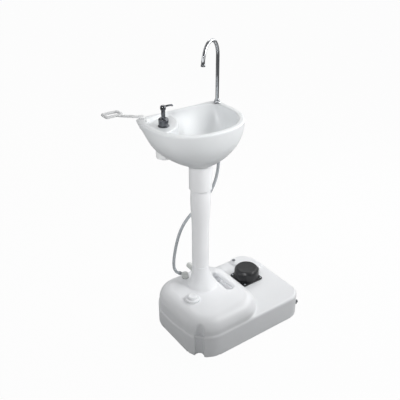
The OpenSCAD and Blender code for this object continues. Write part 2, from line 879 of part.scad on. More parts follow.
// Four screw holes round the sleeve's flange
module sleeve_screw_holes(z, h, d) {
    for (a = [45:90:315])
        rotate([0, 0, a])
            translate([(sleeve_bore_r + drain_hole_d / 2) / 2 + 3, 0, z]) cylinder(d = d, h = h);
}

module sleeve_screws() {
    color("silver") {
        sleeve_screw_holes(basin_foot_z - sleeve_flange_t - 3, 3, 7);
        sleeve_screw_holes(basin_foot_z - sleeve_flange_t, sleeve_flange_t + 4, 4);
    }
}

// Share of the rim's spread that is left at depth u of the body, from 1 at the rim to 0
function side_share(u, sharp, power) = pow(1 - pow(min(max(u, 0), 1), sharp), power);

// Distance from the ring's centre to its outline in direction a, for two half-widths
function super_r(a, half_w, half_d, n) =
    pow(pow(abs(cos(a)) / half_w, n) + pow(abs(sin(a)) / half_d, n), -1 / n);

// One D-shaped ring: rounded in front, with a straight back and square-ish back corners
function d_ring(z, cx, y0, half_w, front, back, front_n, back_n) =
    [for (a = [0:ring_step:359.9]) let (r = sin(a) > 0.001 ? super_r(a, half_w, back, back_n)
                                                       : super_r(a, half_w, front, front_n))
        [cx + r * cos(a), y0 + r * sin(a), z]];

// Outer ring of the basin at a depth below the rim, pulled in by the edge's rounding
function outer_ring(depth, pull) =
    let (u = depth / basin_h,
         k = side_share(u, 2.5, 0.85),
         kb = side_share(u, 1.5, 1),
         y0 = basin_y0 * k,
         half_w = basin_foot_r + (rim_half_w - basin_foot_r) * k - pull,
         front = basin_foot_r + (rim_front - basin_y0 - basin_foot_r) * k + y0 - pull,
         back = basin_foot_r + (rim_back + basin_y0 - basin_foot_r) * kb - y0 - pull)
    d_ring(rim_z - depth, basin_cx * k, y0, half_w, front, back,
           2 + 0.35 * k, 2.2 + 9.8 * pow(1 - u, 10));

// Ring of the bowl's inside at a depth below the rim, widened by the edge's rounding
function bowl_ring(depth, widen) =
    let (u = depth / bowl_depth,
         k = side_share(u, 3.2, 0.85),
         kb = side_share(u, 1.5, 1),
         y0 = basin_y0 * k,
         side_r = rim_half_w - rim_w,
         front_r = rim_front - basin_y0 - rim_w,
         back_r = rim_back + basin_y0 - back_wall_w,
         half_w = bowl_foot_r + (side_r - bowl_foot_r) * k + widen,
         front = bowl_foot_r + (front_r - bowl_foot_r) * k + y0 + widen,
         back = bowl_foot_r + (back_r - bowl_foot_r) * kb - y0 + widen)
    d_ring(rim_z - depth, basin_cx * k, y0, half_w, front, back,
           2 + 0.35 * k, 2.2 + 1.3 * pow(1 - u, 3));

module basin_outside() {
    rim_round = 4;
    shares = [0.065, 0.115, 0.165, 0.22, 0.3, 0.38, 0.47, 0.58, 0.68, 0.77, 0.86, 0.935, 1];
    depths = concat([0, rim_round * 0.3, rim_round], shares * basin_h);
    pulls = [rim_round, 1.2, 0];
    loft([for (i = [len(depths) - 1:-1:0]) outer_ring(depths[i], i < 3 ? pulls[i] : 0)],
         360 / ring_step);
}

module bowl_inside() {
    lip_round = 4;
    shares = [0.085, 0.17, 0.27, 0.38, 0.5, 0.615, 0.73, 0.83, 0.92, 1];
    depths = concat([-1, 0, lip_round * 0.3, lip_round], shares * bowl_depth);
    widens = [lip_round + 1, lip_round, 1.2, 0];
    loft([for (i = [len(depths) - 1:-1:0]) bowl_ring(depths[i], i < 4 ? widens[i] : 0)],
         360 / ring_step);
}

module basin() {
    color("white")
        difference() {
            union() {
                basin_outside();
                translate([faucet_x, faucet_y, faucet_seat_z])
                    cylinder(d = faucet_boss_d, h = rim_z - faucet_seat_z - 6);
                translate([peg_x, peg_y, lip_boss_z]) cylinder(d = 18, h = rim_z - lip_boss_z - 6);
            }
            difference() {
                bowl_inside();
                translate([shelf_cx, shelf_cy, basin_foot_z])
                    cylinder(r = shelf_r, h = shelf_z - basin_foot_z);
                translate([faucet_x, faucet_y, basin_foot_z])
                    cylinder(d = faucet_boss_d, h = basin_h + over);
            }
            translate([soap_x, soap_y, basin_foot_z - over])
                cylinder(r = pocket_r, h = shelf_z - shelf_t - basin_foot_z + over);
            translate([soap_x, soap_y, basin_foot_z]) cylinder(d = soap_shank_d + 0.8, h = basin_h);
            translate([0, 0, basin_foot_z - over]) cylinder(d = drain_hole_d, h = basin_h);
            translate([faucet_x, faucet_y, basin_foot_z])
                cylinder(d = faucet_shank_d + 0.8, h = basin_h + over);
            translate([peg_x, peg_y, basin_foot_z]) cylinder(d = peg_d + 0.6, h = basin_h + over);
            sleeve_screw_holes(basin_foot_z - over, 5 + over, 4);
        }
}

module drain_strainer() {
    flange_z = drain_seat_z + gasket_t;
    color("silver")
        difference() {
            rotate_extrude() {
                ring_section(0, 26, flange_z, flange_z + 2.5);
                ring_section(tailpiece_d / 2 - waste_wall, tailpiece_d / 2, basin_foot_z - 24, flange_z + 1);
            }
            for (a = [0:45:315])
                rotate([0, 0, a]) translate([8.5, 0, flange_z - over]) cylinder(d = 4.5, h = 5);
            translate([0, 0, flange_z - over]) cylinder(d = 4.5, h = 5);
        }
}

module drain_gasket() {
    color("dimgray") tube(24, tailpiece_d / 2 + 0.3, drain_seat_z, gasket_t);
}

module drain_nut() {
    color("gainsboro")
        difference() {
            translate([0, 0, basin_foot_z - sleeve_flange_t - 12]) cylinder(d = 42, h = 12, $fn = 8);
            translate([0, 0, basin_foot_z - sleeve_flange_t - 13])
                cylinder(d = tailpiece_d + 0.2, h = 14);
        }
}

module waste_tube() {
    cup_r = tailpiece_d / 2 + 0.2;
    cup_z = basin_foot_z - 45;
    foot_z = waste_elbow_z + waste_d;
    color("gainsboro")
        difference() {
            union() {
                translate([0, 0, cup_z]) cylinder(r = cup_r + waste_wall, h = 25);
                translate([0, 0, foot_z]) cylinder(d = waste_d, h = cup_z - foot_z + over);
            }
            translate([0, 0, cup_z + 2]) cylinder(r = cup_r, h = 25);
            translate([0, 0, foot_z - over]) cylinder(d = waste_d - 2 * waste_wall, h = cup_z - foot_z + 10);
        }
}

module waste_elbow() {
    bend = waste_d / 2 + 3;
    color("#4b4e52")
        translate([0, 0, waste_elbow_z]) {
            translate([0, bend, bend])
                rotate([90, 0, 0])
                    rotate([0, 90, 0])
                        rotate([0, 0, 180])
                            rotate_extrude(angle = 90)
                                translate([bend, 0])
                                    difference() {
                                        circle(d = waste_d);
                                        circle(d = waste_d - 2 * waste_wall);
                                    }
            translate([0, 0, bend]) tube(waste_d / 2, waste_d / 2 - waste_wall, 0, waste_d - bend);
            translate([0, bend, 0])
                rotate([-90, 0, 0]) tube(waste_d / 2, waste_d / 2 - waste_wall, 0, waste_stub_l - bend);
            translate([0, waste_stub_l, 0])
                rotate([-90, 0, 0]) tube(waste_spigot_d / 2, waste_d / 2 - 2 * waste_wall, 0, waste_spigot_l);
        }
}

// Places what follows on the faucet's axis
module at_faucet() {
    translate([faucet_x, faucet_y, 0]) children();
}

module faucet_seal() {
    color("dimgray") at_faucet() tube(faucet_base_d / 2 - 1, faucet_shank_d / 2 + 0.5, rim_z, gasket_t);
}

module faucet_base() {
    base_z = rim_z + gasket_t;
    socket_z = rim_z - 12;
    color("silver")
        at_faucet()
            rotate_extrude()
                difference() {
                    union() {
                        ring_section(0, faucet_base_d / 2, base_z, base_z + faucet_base_h - 3);
                        ring_section(0, faucet_base_d / 2 - 3, base_z, base_z + faucet_base_h);
                        translate([faucet_base_d / 2 - 3, base_z + faucet_base_h - 3]) quarter_disc(3);
                        ring_section(0, faucet_shank_d / 2, faucet_seat_z - 14, base_z + over);
                        ring_section(0, hose_d / 2 - 1.5, faucet_tail_z, faucet_seat_z);
                    }
                    ring_section(-1, 2.5, faucet_tail_z - over, socket_z + over);
                    ring_section(-1, faucet_tube_d / 2 + 0.1, socket_z, base_z + faucet_base_h + over);
                }
}

module faucet_nut() {
    color("gainsboro")
        at_faucet()
            difference() {
                union() {
                    translate([0, 0, faucet_seat_z - 10]) cylinder(d = 26, h = 8, $fn = 6);
                    translate([0, 0, faucet_seat_z - 2]) cylinder(d = 28, h = 2);
                }
                translate([0, 0, faucet_seat_z - 11]) cylinder(d = faucet_shank_d + 0.2, h = 12);
            }
}

// The spout's path as a rod: the straight riser from foot_z and the half-round bend
module spout_rod(r, foot_z) {
    bend_z = rim_z + riser_h;
    translate([0, 0, foot_z]) cylinder(r = r, h = bend_z - foot_z);
    rotate([0, 0, faucet_yaw])
        translate([gooseneck_r, 0, bend_z])
            rotate([90, 0, 0])
                rotate_extrude(angle = 180)
                    translate([gooseneck_r, 0]) circle(r = r);
}

module gooseneck_spout() {
    foot_z = rim_z - 10;
    collar_z = rim_z + gasket_t + faucet_base_h + 0.3;
    color("silver")
        at_faucet()
            difference() {
                union() {
                    spout_rod(faucet_tube_d / 2, foot_z);
                    translate([0, 0, collar_z]) cylinder(r = faucet_tube_d / 2 + 2, h = 4);
                }
                spout_rod(faucet_tube_d / 2 - faucet_wall, foot_z - over);
            }
}

module aerator() {
    end_z = rim_z + riser_h;
    color("silver")
        at_faucet()
            rotate([0, 0, faucet_yaw])
                translate([2 * gooseneck_r, 0, 0])
                    tube(faucet_tube_d / 2 + 1.5, faucet_tube_d / 2 - 1, end_z - aerator_h, aerator_h);
}

// Places what follows on the soap dispenser's axis
module at_soap() {
    translate([soap_x, soap_y, 0]) children();
}

module soap_collar() {
    bore_r = soap_stem_d / 2 + 0.4;
    top = shelf_z + soap_collar_h;
    color("#26272a")
        at_soap()
            rotate_extrude()
                difference() {
                    union() {
                        ring_section(0, soap_collar_d / 2 + 2, shelf_z, shelf_z + 3);
                        ring_section(0, soap_collar_d / 2, shelf_z, top - 5);
                        ring_section(0, soap_collar_d / 2 - 5, shelf_z, top);
                        translate([soap_collar_d / 2 - 5, top - 5]) quarter_disc(5);
                        ring_section(0, soap_shank_d / 2, shelf_z - 24, shelf_z + over);
                    }
                    ring_section(-1, bore_r, soap_floor_z, top + over);
                    ring_section(-1, soap_shank_d / 2 - 3, shelf_z - 25, soap_floor_z - 3);
                    ring_section(-1, 3, shelf_z - 25, top);
                }
}

module soap_nut() {
    nut_z = shelf_z - shelf_t - 8;
    color("gainsboro")
        at_soap()
            difference() {
                translate([0, 0, nut_z]) cylinder(d = 38, h = 8, $fn = 8);
                translate([0, 0, nut_z - over]) cylinder(d = soap_shank_d + 0.2, h = 8 + 2 * over);
            }
}

module soap_bottle() {
    neck_z = shelf_z - shelf_t - 9;
    body_top = neck_z - 8;
    bottom = body_top - bottle_h + 12;
    r = bottle_d / 2;
    color("white")
        at_soap()
            rotate_extrude()
                difference() {
                    union() {
                        translate([0, bottom]) edge_section(r, body_top - bottom, 8);
                        ring_section(0, soap_shank_d / 2 + 2.3, body_top - over, neck_z);
                    }
                    translate([0, bottom + 2]) edge_section(r - 2, body_top - bottom - 4, 6);
                    ring_section(-1, soap_shank_d / 2 + 0.3, body_top - 4, neck_z + over);
                }
}

module soap_pump_head() {
    head_r = 9.5;
    stem_z = soap_piston_z + soap_piston_h;
    nozzle_r = 3.6;
    color("#2a2b2e")
        at_soap()
            difference() {
                union() {
                    translate([0, 0, stem_z])
                        cylinder(d = soap_stem_d, h = soap_head_z - soap_head_h - stem_z + over);
                    translate([0, 0, soap_head_z - soap_head_h])
                        rotate_extrude() edge_section(head_r, soap_head_h, 4);
                    translate([0, 0, soap_head_z - 6])
                        rotate([0, 90, 0]) cylinder(r = nozzle_r, h = soap_nozzle_l);
                }
                translate([4, 0, soap_head_z - 6]) rotate([0, 90, 0]) cylinder(r = 1.5, h = soap_nozzle_l);
                translate([0, 0, stem_z - over]) cylinder(r = 2, h = soap_head_z - stem_z - 5);
            }
}

module soap_piston() {
    color("gainsboro")
        at_soap() tube(soap_stem_d / 2, 2, soap_piston_z, soap_piston_h);
}

module soap_spring() {
    color("silver") at_soap() coil(4.6, 0.6, soap_floor_z, soap_piston_z - soap_floor_z, 7);
}

module dip_tube() {
    top = soap_floor_z;
    bottom = shelf_z - shelf_t - 9 - bottle_h + 10;
    color("gainsboro")
        at_soap() {
            tube(2.6, 1.6, bottom, top - bottom);
            tube(6, 2, soap_floor_z - 5.5, 2.5);
        }
}

// Places what follows on the towel loop's peg, turned so that +X runs out along the neck
module at_towel() {
    translate([peg_x, peg_y, 0]) rotate([0, 0, towel_yaw]) children();
}

module towel_holder() {
    loop_yaw = 180 - towel_yaw;
    loop_in_l = towel_loop_l - 2 * towel_bar;
    loop_in_w = towel_loop_w - 2 * towel_bar;
    color("white")
        at_towel()
            union() {
                translate([0, 0, towel_z]) cylinder(r = 10, h = towel_t);
                translate([0, -towel_neck_w / 2, towel_z]) cube([towel_neck_l, towel_neck_w, towel_t]);
                translate([towel_neck_l, 0, 0])
                    rotate([0, 0, loop_yaw])
                        translate([towel_loop_shift[0], towel_loop_shift[1], 0])
                            difference() {
                                rounded_plate(towel_loop_l, towel_loop_w, 7, towel_z, towel_t);
                                rounded_plate(loop_in_l, loop_in_w, 3,
                                              towel_z - over, towel_t + 2 * over);
                            }
                translate([0, 0, lip_boss_z - 10])
                    cylinder(d = peg_d, h = towel_z - lip_boss_z + 10 + over);
            }
}

module towel_washer() {
    color("dimgray")
        translate([peg_x, peg_y, 0]) tube(7.5, peg_d / 2 + 0.3, lip_boss_z - 1.3, 1.2);
}

module towel_nut() {
    color("white")
        translate([peg_x, peg_y, 0]) tube(8, peg_d / 2 + 0.05, lip_boss_z - 8.5, 7);
}

water_tank();
filler_cap();
cap_gasket();
drain_plug();
drain_plug_seal();
vent_plug();
pump_body();
pump_gasket();
pump_screws();
pump_cap();
pump_piston();
piston_seal();
pump_spring();
intake_valve();
intake_tube();
intake_strainer();
outlet_tube();
hose_elbow();
elbow_gasket();
supply_hose();
hose_clamps();
column_tube();
column_sleeve();
sleeve_screws();
basin();
drain_strainer();
drain_gasket();
drain_nut();
waste_tube();
waste_elbow();
faucet_base();
faucet_seal();
faucet_nut();
gooseneck_spout();
aerator();
soap_collar();
soap_nut();
soap_bottle();
soap_pump_head();
soap_piston();
soap_spring();
dip_tube();
towel_holder();
towel_washer();
towel_nut();
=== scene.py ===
"""Looks of a portable handwash station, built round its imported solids.

The station is a blow-moulded floor tank with a foot pump, a hollow column, a D-shaped basin,
a plated gooseneck faucet, a plated soap pump, a towel loop and a supply hose. Each
sub-assembly is a class that holds its sizes in millimetres, makes its meshes in the frame of
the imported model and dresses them. Everything is in metres in the scene.
"""
import json
import logging
import math
from dataclasses import dataclass
from enum import Enum
from functools import cache
from typing import Any, Sequence

import bmesh
import bpy
from mathutils import Matrix, Vector


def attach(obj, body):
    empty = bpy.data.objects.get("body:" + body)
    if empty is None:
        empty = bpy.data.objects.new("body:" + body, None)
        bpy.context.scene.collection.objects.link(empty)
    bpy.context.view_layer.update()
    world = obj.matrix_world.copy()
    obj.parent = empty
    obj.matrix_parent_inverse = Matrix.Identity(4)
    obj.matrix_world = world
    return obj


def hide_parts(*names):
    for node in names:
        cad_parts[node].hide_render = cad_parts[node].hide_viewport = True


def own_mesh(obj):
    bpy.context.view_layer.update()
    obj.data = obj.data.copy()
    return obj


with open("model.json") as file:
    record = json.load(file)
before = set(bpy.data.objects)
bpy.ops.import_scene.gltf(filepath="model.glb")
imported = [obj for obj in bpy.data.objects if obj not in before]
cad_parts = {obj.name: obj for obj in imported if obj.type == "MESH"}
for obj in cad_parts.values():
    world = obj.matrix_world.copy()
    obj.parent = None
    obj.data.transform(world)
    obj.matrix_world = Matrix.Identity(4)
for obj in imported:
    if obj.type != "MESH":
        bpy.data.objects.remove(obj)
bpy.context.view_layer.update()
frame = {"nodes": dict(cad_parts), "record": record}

LOG = logging.getLogger("handwash_station")
MM = 0.001
UP = (0.0, 0.0, 1.0)

Point2 = tuple[float, float]
Point3 = tuple[float, float, float]
BMesh = bmesh.types.BMesh
Obj = bpy.types.Object
Socket = bpy.types.NodeSocket
Tree = bpy.types.NodeTree


class Body(Enum):
    """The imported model's bodies that a piece can ride on."""

    STAND = "stand"
    FILLER = "filler"
    DRAIN = "drain"
    FOOT_PLUNGER = "foot_plunger"
    SPOUT = "spout"
    SOAP_PLUNGER = "soap_plunger"
    TOWEL = "towel"


class Carve(Enum):
    """What a boolean does with its tool."""

    CUT = "DIFFERENCE"
    JOIN = "UNION"
    MEET = "INTERSECT"


# ---------------------------------------------------------------- nodes

def linear(hex_code: str) -> tuple[float, float, float, float]:
    """Turn an sRGB hex colour into the linear colour that a shader takes.

    Args:
        hex_code: six hex digits after a hash sign.

    Returns:
        Linear red, green and blue, and an alpha of 1.
    """
    parts = [int(hex_code[i:i + 2], 16) / 255 for i in (1, 3, 5)]
    rgb = [c / 12.92 if c <= 0.04045 else ((c + 0.055) / 1.055) ** 2.4 for c in parts]
    return rgb[0], rgb[1], rgb[2], 1.0


def add_node(tree: Tree, kind: str, inputs: dict[Any, Any] | None = None,
             **settings: Any) -> bpy.types.Node:
    """Add a node, set its properties, and fill or link its inputs.

    Args:
        tree: the node tree that takes the node.
        kind: the node's type name.
        inputs: input names or numbers, each with a value or with a socket to link from.
        settings: the node's own properties.

    Returns:
        The new node.
    """
    node = tree.nodes.new(kind)
    for name, value in settings.items():
        setattr(node, name, value)
    for key, value in (inputs or {}).items():
        if isinstance(value, Socket):
            tree.links.new(value, node.inputs[key])
        else:
            node.inputs[key].default_value = value
    return node


def wire(tree: Tree, kind: str, out: str | int, inputs: dict[Any, Any] | None = None,
         **settings: Any) -> Socket:
    """Add a node as add_node does, and return one of its outputs."""
    return add_node(tree, kind, inputs, **settings).outputs[out]


def maths(tree: Tree, operation: str, a: Socket | float, b: Socket | float) -> Socket:
    """Add a node that reckons with two numbers."""
    return wire(tree, "ShaderNodeMath", "Value", {0: a, 1: b}, operation=operation)


def noise(tree: Tree, where: Socket, size_mm: float, detail: float) -> Socket:
    """Add soft noise whose patches are about a size across."""
    return wire(tree, "ShaderNodeTexNoise", "Fac", {
        "Vector": where, "Scale": 1 / (size_mm * MM), "Detail": detail})


def two_shades(tree: Tree, share: Socket, colour: str, shade: str) -> Socket:
    """Go from one hex colour to another by a share."""
    return wire(tree, "ShaderNodeMix", 2, {
        0: share, 6: linear(colour), 7: linear(shade)}, data_type="RGBA")


def spread(tree: Tree, share: Socket, low: float, high: float) -> Socket:
    """Spread the middle of a noise's range over two levels."""
    return wire(tree, "ShaderNodeMapRange", "Result", {
        "Value": share, "From Min": 0.3, "From Max": 0.7, "To Min": low, "To Max": high})


def relief(tree: Tree, height: Socket, depth_mm: float, under: Socket | None = None
           ) -> Socket:
    """Bump the surface by a depth, on top of another bump where one is given."""
    inputs = {"Height": height, "Strength": 1.0, "Distance": depth_mm * MM}
    if under is not None:
        inputs["Normal"] = under
    return wire(tree, "ShaderNodeBump", "Normal", inputs)


# ---------------------------------------------------------------- materials

def blank_material(name: str) -> tuple[bpy.types.Material, Tree]:
    """Make a material with an empty node tree."""
    material = bpy.data.materials.new(name)
    material.use_nodes = True
    material.node_tree.nodes.clear()
    return material, material.node_tree


@dataclass(frozen=True)
class Finish:
    """A finish of two close shades; each kind of finish says what its surface takes."""

    name: str
    colour: str
    shade: str
    roughness: float

    def inputs(self, tree: Tree) -> dict[str, Any]:
        """Fill a tree with the finish's nodes and return the surface's inputs."""
        raise NotImplementedError

    def build(self) -> bpy.types.Material:
        """Build the material and return it."""
        material, tree = blank_material(self.name)
        add_node(tree, "ShaderNodeOutputMaterial", {
            "Surface": wire(tree, "ShaderNodeBsdfPrincipled", "BSDF", self.inputs(tree))})
        return material


@dataclass(frozen=True)
class MouldedPlastic(Finish):
    """A moulded thermoplastic: two close shades in soft patches, and a fine grained skin."""

    patch_mm: float
    grain_mm: float = 3.0
    grain_depth_mm: float = 0.05
    wave_mm: float = 0.0
    wave_depth_mm: float = 0.0
    coat: float = 0.0
    clearness: float = 0.0

    def inputs(self, tree: Tree) -> dict[str, Any]:
        """Fill a tree with the plastic's nodes and return the surface's inputs."""
        place = wire(tree, "ShaderNodeTexCoord", "Object")
        patches = noise(tree, place, self.patch_mm, 3.0)
        normal = relief(tree, noise(tree, place, self.grain_mm, 2.0), self.grain_depth_mm)
        if self.wave_depth_mm:
            normal = relief(tree, noise(tree, place, self.wave_mm, 1.0), self.wave_depth_mm,
                            normal)
        return {
            "Base Color": two_shades(tree, patches, self.colour, self.shade),
            "Roughness": spread(tree, patches, self.roughness - 0.04, self.roughness + 0.05),
            "Normal": normal, "IOR": 1.5, "Coat Weight": self.coat, "Coat Roughness": 0.12,
            "Transmission Weight": self.clearness}


@dataclass(frozen=True)
class PlatedMetal(Finish):
    """A bright metal surface: polished plating, drawn wire or zinc, by roughness and stretch."""

    mark_mm: float
    mark_depth_mm: float
    stretch: Point3 = (1.0, 1.0, 1.0)

    def inputs(self, tree: Tree) -> dict[str, Any]:
        """Fill a tree with the metal's nodes and return the surface's inputs."""
        marks = noise(tree, wire(tree, "ShaderNodeMapping", "Vector", {
            "Vector": wire(tree, "ShaderNodeTexCoord", "Object"),
            "Scale": self.stretch}), self.mark_mm, 4.0)
        return {
            "Base Color": two_shades(tree, marks, self.colour, self.shade), "Metallic": 1.0,
            "Roughness": spread(tree, marks, self.roughness * 0.7, self.roughness * 1.4),
            "Normal": relief(tree, marks, self.mark_depth_mm)}


# every finish on the station, by the record's slot
FINISHES: dict[str, Finish] = {
    # blow-moulded polyethylene: satin, with the slow waves of a thin blown wall
    "tank_plastic": MouldedPlastic(
        "blow_moulded_polyethylene", "#eeeff1", "#e8eaec", roughness=0.32, patch_mm=90,
        grain_mm=2.5, wave_mm=55, wave_depth_mm=0.35),
    # injection-moulded polypropylene: satin, even
    "column_plastic": MouldedPlastic(
        "moulded_white_polypropylene", "#f3f4f5", "#edeef0", roughness=0.36, patch_mm=120,
        grain_mm=2.0, grain_depth_mm=0.03),
    # moulded and polished ABS: glossy, with a clear hard skin
    "basin_plastic": MouldedPlastic(
        "moulded_gloss_abs", "#eef0f1", "#e8ebed", roughness=0.34, patch_mm=110,
        grain_depth_mm=0.02, wave_mm=60, wave_depth_mm=0.12, coat=0.12),
    # small white ABS mouldings
    "white_plastic": MouldedPlastic(
        "moulded_white_abs", "#f9fafa", "#f3f4f5", roughness=0.32, patch_mm=40),
    # black polypropylene with a spark-eroded mould grain, which spreads its highlights
    "pump_plastic": MouldedPlastic(
        "grained_black_polypropylene", "#242527", "#1b1c1e", roughness=0.38, patch_mm=25,
        grain_mm=1.6, grain_depth_mm=0.10),
    # grey nylon: small fittings
    "dark_plastic": MouldedPlastic(
        "moulded_grey_nylon", "#7d8084", "#6c6f73", roughness=0.42, patch_mm=15),
    # natural polypropylene: milky and a little see-through
    "natural_plastic": MouldedPlastic(
        "natural_polypropylene", "#d8dad8", "#cfd2d0", roughness=0.34, patch_mm=30,
        grain_mm=2.0, grain_depth_mm=0.03, clearness=0.08),
    # clear PVC hose over pale water: glossy, grey at the edges
    "clear_hose": MouldedPlastic(
        "extruded_clear_pvc", "#c3c8cc", "#b7bdc2", roughness=0.16, patch_mm=40,
        grain_depth_mm=0.01, coat=0.3, clearness=0.22),
    # vulcanised rubber: dull, with a talc bloom in patches
    "black_rubber": MouldedPlastic(
        "vulcanised_black_rubber", "#1d1e20", "#2a2b2d", roughness=0.72, patch_mm=8,
        grain_mm=0.9, grain_depth_mm=0.06),
    # chromium plating on brass: mirror bright, with faint wiping marks along its length
    "chromed_brass": PlatedMetal(
        "chromium_plate_on_brass", "#d4d6d9", "#c6c9cd", roughness=0.07, mark_mm=6.0,
        mark_depth_mm=0.002, stretch=(1.0, 1.0, 0.15)),
    # chromium plating on plastic, its colour darkened as a painted reflection of dark
    # surroundings, with a slight ripple
    "chromed_plastic": PlatedMetal(
        "chromium_on_abs_painted_dark_reflection", "#717377", "#626468", roughness=0.07, mark_mm=9.0,
        mark_depth_mm=0.005),
    # drawn stainless wire and strip: fine lines along the draw
    "stainless_steel": PlatedMetal(
        "drawn_stainless_steel", "#bfc1c3", "#a9acaf", roughness=0.26, mark_mm=1.5,
        mark_depth_mm=0.006, stretch=(1.0, 1.0, 0.1)),
    # bright zinc plating: pale blue grey, mottled
    "zinc_steel": PlatedMetal(
        "bright_zinc_plate", "#c3c8cd", "#adb3b9", roughness=0.32, mark_mm=2.5,
        mark_depth_mm=0.004),
}
MATERIALS = {slot: finish.build() for slot, finish in FINISHES.items()}


# ---------------------------------------------------------------- meshes

def quarter(steps: int) -> list[float]:
    """Angles from 0 to a quarter turn, in even steps."""
    return [math.pi / 2 * k / steps for k in range(steps + 1)]


def full_turn(steps: int) -> list[float]:
    """Angles once round, in even steps, without the last one."""
    return [2 * math.pi * k / steps for k in range(steps)]


def rounded_profile(corners: Sequence[Point3], steps: int = 5) -> list[Point2]:
    """Round the corners of an open or closed run of profile points.

    Args:
        corners: radius, height and fillet radius of each corner, in millimetres.
        steps: segments in a quarter turn's fillet.

    Returns:
        Profile points, radius and height, in millimetres.
    """
    out: list[Point2] = []
    last = len(corners) - 1
    for i, (r, z, fillet) in enumerate(corners):
        here = Vector((r, z))
        if fillet > 0 and i not in (0, last):
            back = Vector(corners[i - 1][:2]) - here
            ahead = Vector(corners[i + 1][:2]) - here
        if fillet <= 0 or i in (0, last) or min(back.length, ahead.length) < 1e-6:
            out.append((r, z))
            continue
        reach = min(fillet / math.tan(back.angle(ahead) / 2), back.length * 0.49,
                    ahead.length * 0.49)
        a, b = here + back.normalized() * reach, here + ahead.normalized() * reach
        for t in (k / steps for k in range(steps + 1)):
            p = a * (1 - t) ** 2 + here * 2 * t * (1 - t) + b * t ** 2
            out.append((p.x, p.y))
    return out


def loft(rings: Sequence[Sequence[Point3]], tube: bool = False) -> BMesh:
    """Skin a list of rings with quads, and close the two ends with flat faces.

    Args:
        rings: rings of the same number of points, in millimetres.
        tube: whether the last ring joins the first one, as round a tube wall.

    Returns:
        The mesh in metres, with its faces pointing outwards.
    """
    bm = bmesh.new()
    rows = [[bm.verts.new(Vector(p) * MM) for p in ring] for ring in rings]
    n = len(rows[0])
    for low, high in list(zip(rows, rows[1:])) + ([(rows[-1], rows[0])] if tube else []):
        for i in range(n):
            j = (i + 1) % n
            bm.faces.new((low[i], low[j], high[j], high[i]))
    if not tube:
        bm.faces.new(list(reversed(rows[0])))
        bm.faces.new(rows[-1])
    bmesh.ops.remove_doubles(bm, verts=bm.verts, dist=1e-7)
    bmesh.ops.recalc_face_normals(bm, faces=bm.faces)
    return bm


def revolve(profile: Sequence[Point2], segments: int = 96, tube: bool = False) -> BMesh:
    """Turn a profile about the Z axis.

    Args:
        profile: radius and height of each point, in millimetres.
        segments: steps round the axis.
        tube: whether the last point joins the first one, as round a tube wall.

    Returns:
        The mesh in metres.
    """
    return loft([[(max(r, 0.0) * math.cos(a), max(r, 0.0) * math.sin(a), z)
                  for a in full_turn(segments)] for r, z in profile], tube)


def shift(bm: BMesh, matrix: Matrix) -> BMesh:
    """Place a mesh by a matrix in metres and return it."""
    bmesh.ops.transform(bm, matrix=matrix, verts=bm.verts)
    return bm


def at(x: float, y: float, z: float = 0.0, turn: Matrix | None = None) -> Matrix:
    """A matrix that turns and then moves to a point given in millimetres."""
    return Matrix.Translation(Vector((x, y, z)) * MM) @ (turn or Matrix.Identity(4))


def turned(corners: Sequence[Point3], place: Matrix, segments: int = 96, tube: bool = False,
           steps: int = 5) -> BMesh:
    """Turn a profile with rounded corners about an axis that stands at a place."""
    return shift(revolve(rounded_profile(corners, steps), segments, tube), place)


def rod(radius: float, z0: float, z1: float, place: Matrix, segments: int = 64) -> BMesh:
    """Make a plain round rod along an axis, from one height to another."""
    return shift(revolve([(0, z0), (radius, z0), (radius, z1), (0, z1)], segments), place)


def outline(x0: float, x1: float, y0: float, y1: float, right: float, left: float,
            pull: float = 0.0, steps: int = 10) -> list[Point2]:
    """Go counter-clockwise round a rectangle with rounded corners, in millimetres.

    Args:
        x0, x1, y0, y1: the rectangle's sides.
        right, left: the corners' radii on the right and on the left.
        pull: how far the outline is pulled in.
        steps: segments in a corner.

    Returns:
        The outline's points.
    """
    corners = [(x1 - right, y1 - right, right), (x0 + left, y1 - left, left),
               (x0 + left, y0 + left, left), (x1 - right, y0 + right, right)]
    return [(cx + (r - pull) * math.cos(math.pi / 2 * (q + k / steps)),
             cy + (r - pull) * math.sin(math.pi / 2 * (q + k / steps)))
            for q, (cx, cy, r) in enumerate(corners) for k in range(steps + 1)]


def slab(x0: float, x1: float, y0: float, y1: float, z0: float, z1: float, radius: float,
         edge: float) -> BMesh:
    """Make a flat slab with round plan corners and rounded upper and lower edges."""
    levels = [(edge * (1 - math.sin(a)), z0 + edge * (1 - math.cos(a))) for a in quarter(4)]
    levels += [(edge * (1 - math.cos(a)), z1 - edge * (1 - math.sin(a))) for a in quarter(4)]
    return loft([[(x, y, z) for x, y in outline(
        x0 + i, x1 - i, y0 + i, y1 - i, max(radius - i, 0.3), max(radius - i, 0.3))]
        for i, z in levels])


def block(x0: float, x1: float, y0: float, y1: float, z0: float, z1: float, right: float,
          left: float, edge: float) -> BMesh:
    """Make a block with its own corner radii right and left and a rounded upper edge."""
    levels = [(0.0, z0)] + [(edge * (1 - math.cos(a)), z1 - edge * (1 - math.sin(a)))
                            for a in quarter(14)]
    return loft([[(x, y, z) for x, y in outline(x0, x1, y0, y1, right, left, pull, 24)]
                 for pull, z in levels])


def new_object(name: str, data: bpy.types.ID) -> Obj:
    """Make an object and link it to the scene."""
    obj = bpy.data.objects.new(name, data)
    bpy.context.scene.collection.objects.link(obj)
    return obj


def shade(obj: Obj, sharp_deg: float = 35.0) -> None:
    """Shade an object smooth, with edges past an angle kept sharp."""
    obj.data.polygons.foreach_set("use_smooth", [True] * len(obj.data.polygons))
    obj.data.set_sharp_from_angle(angle=math.radians(sharp_deg))


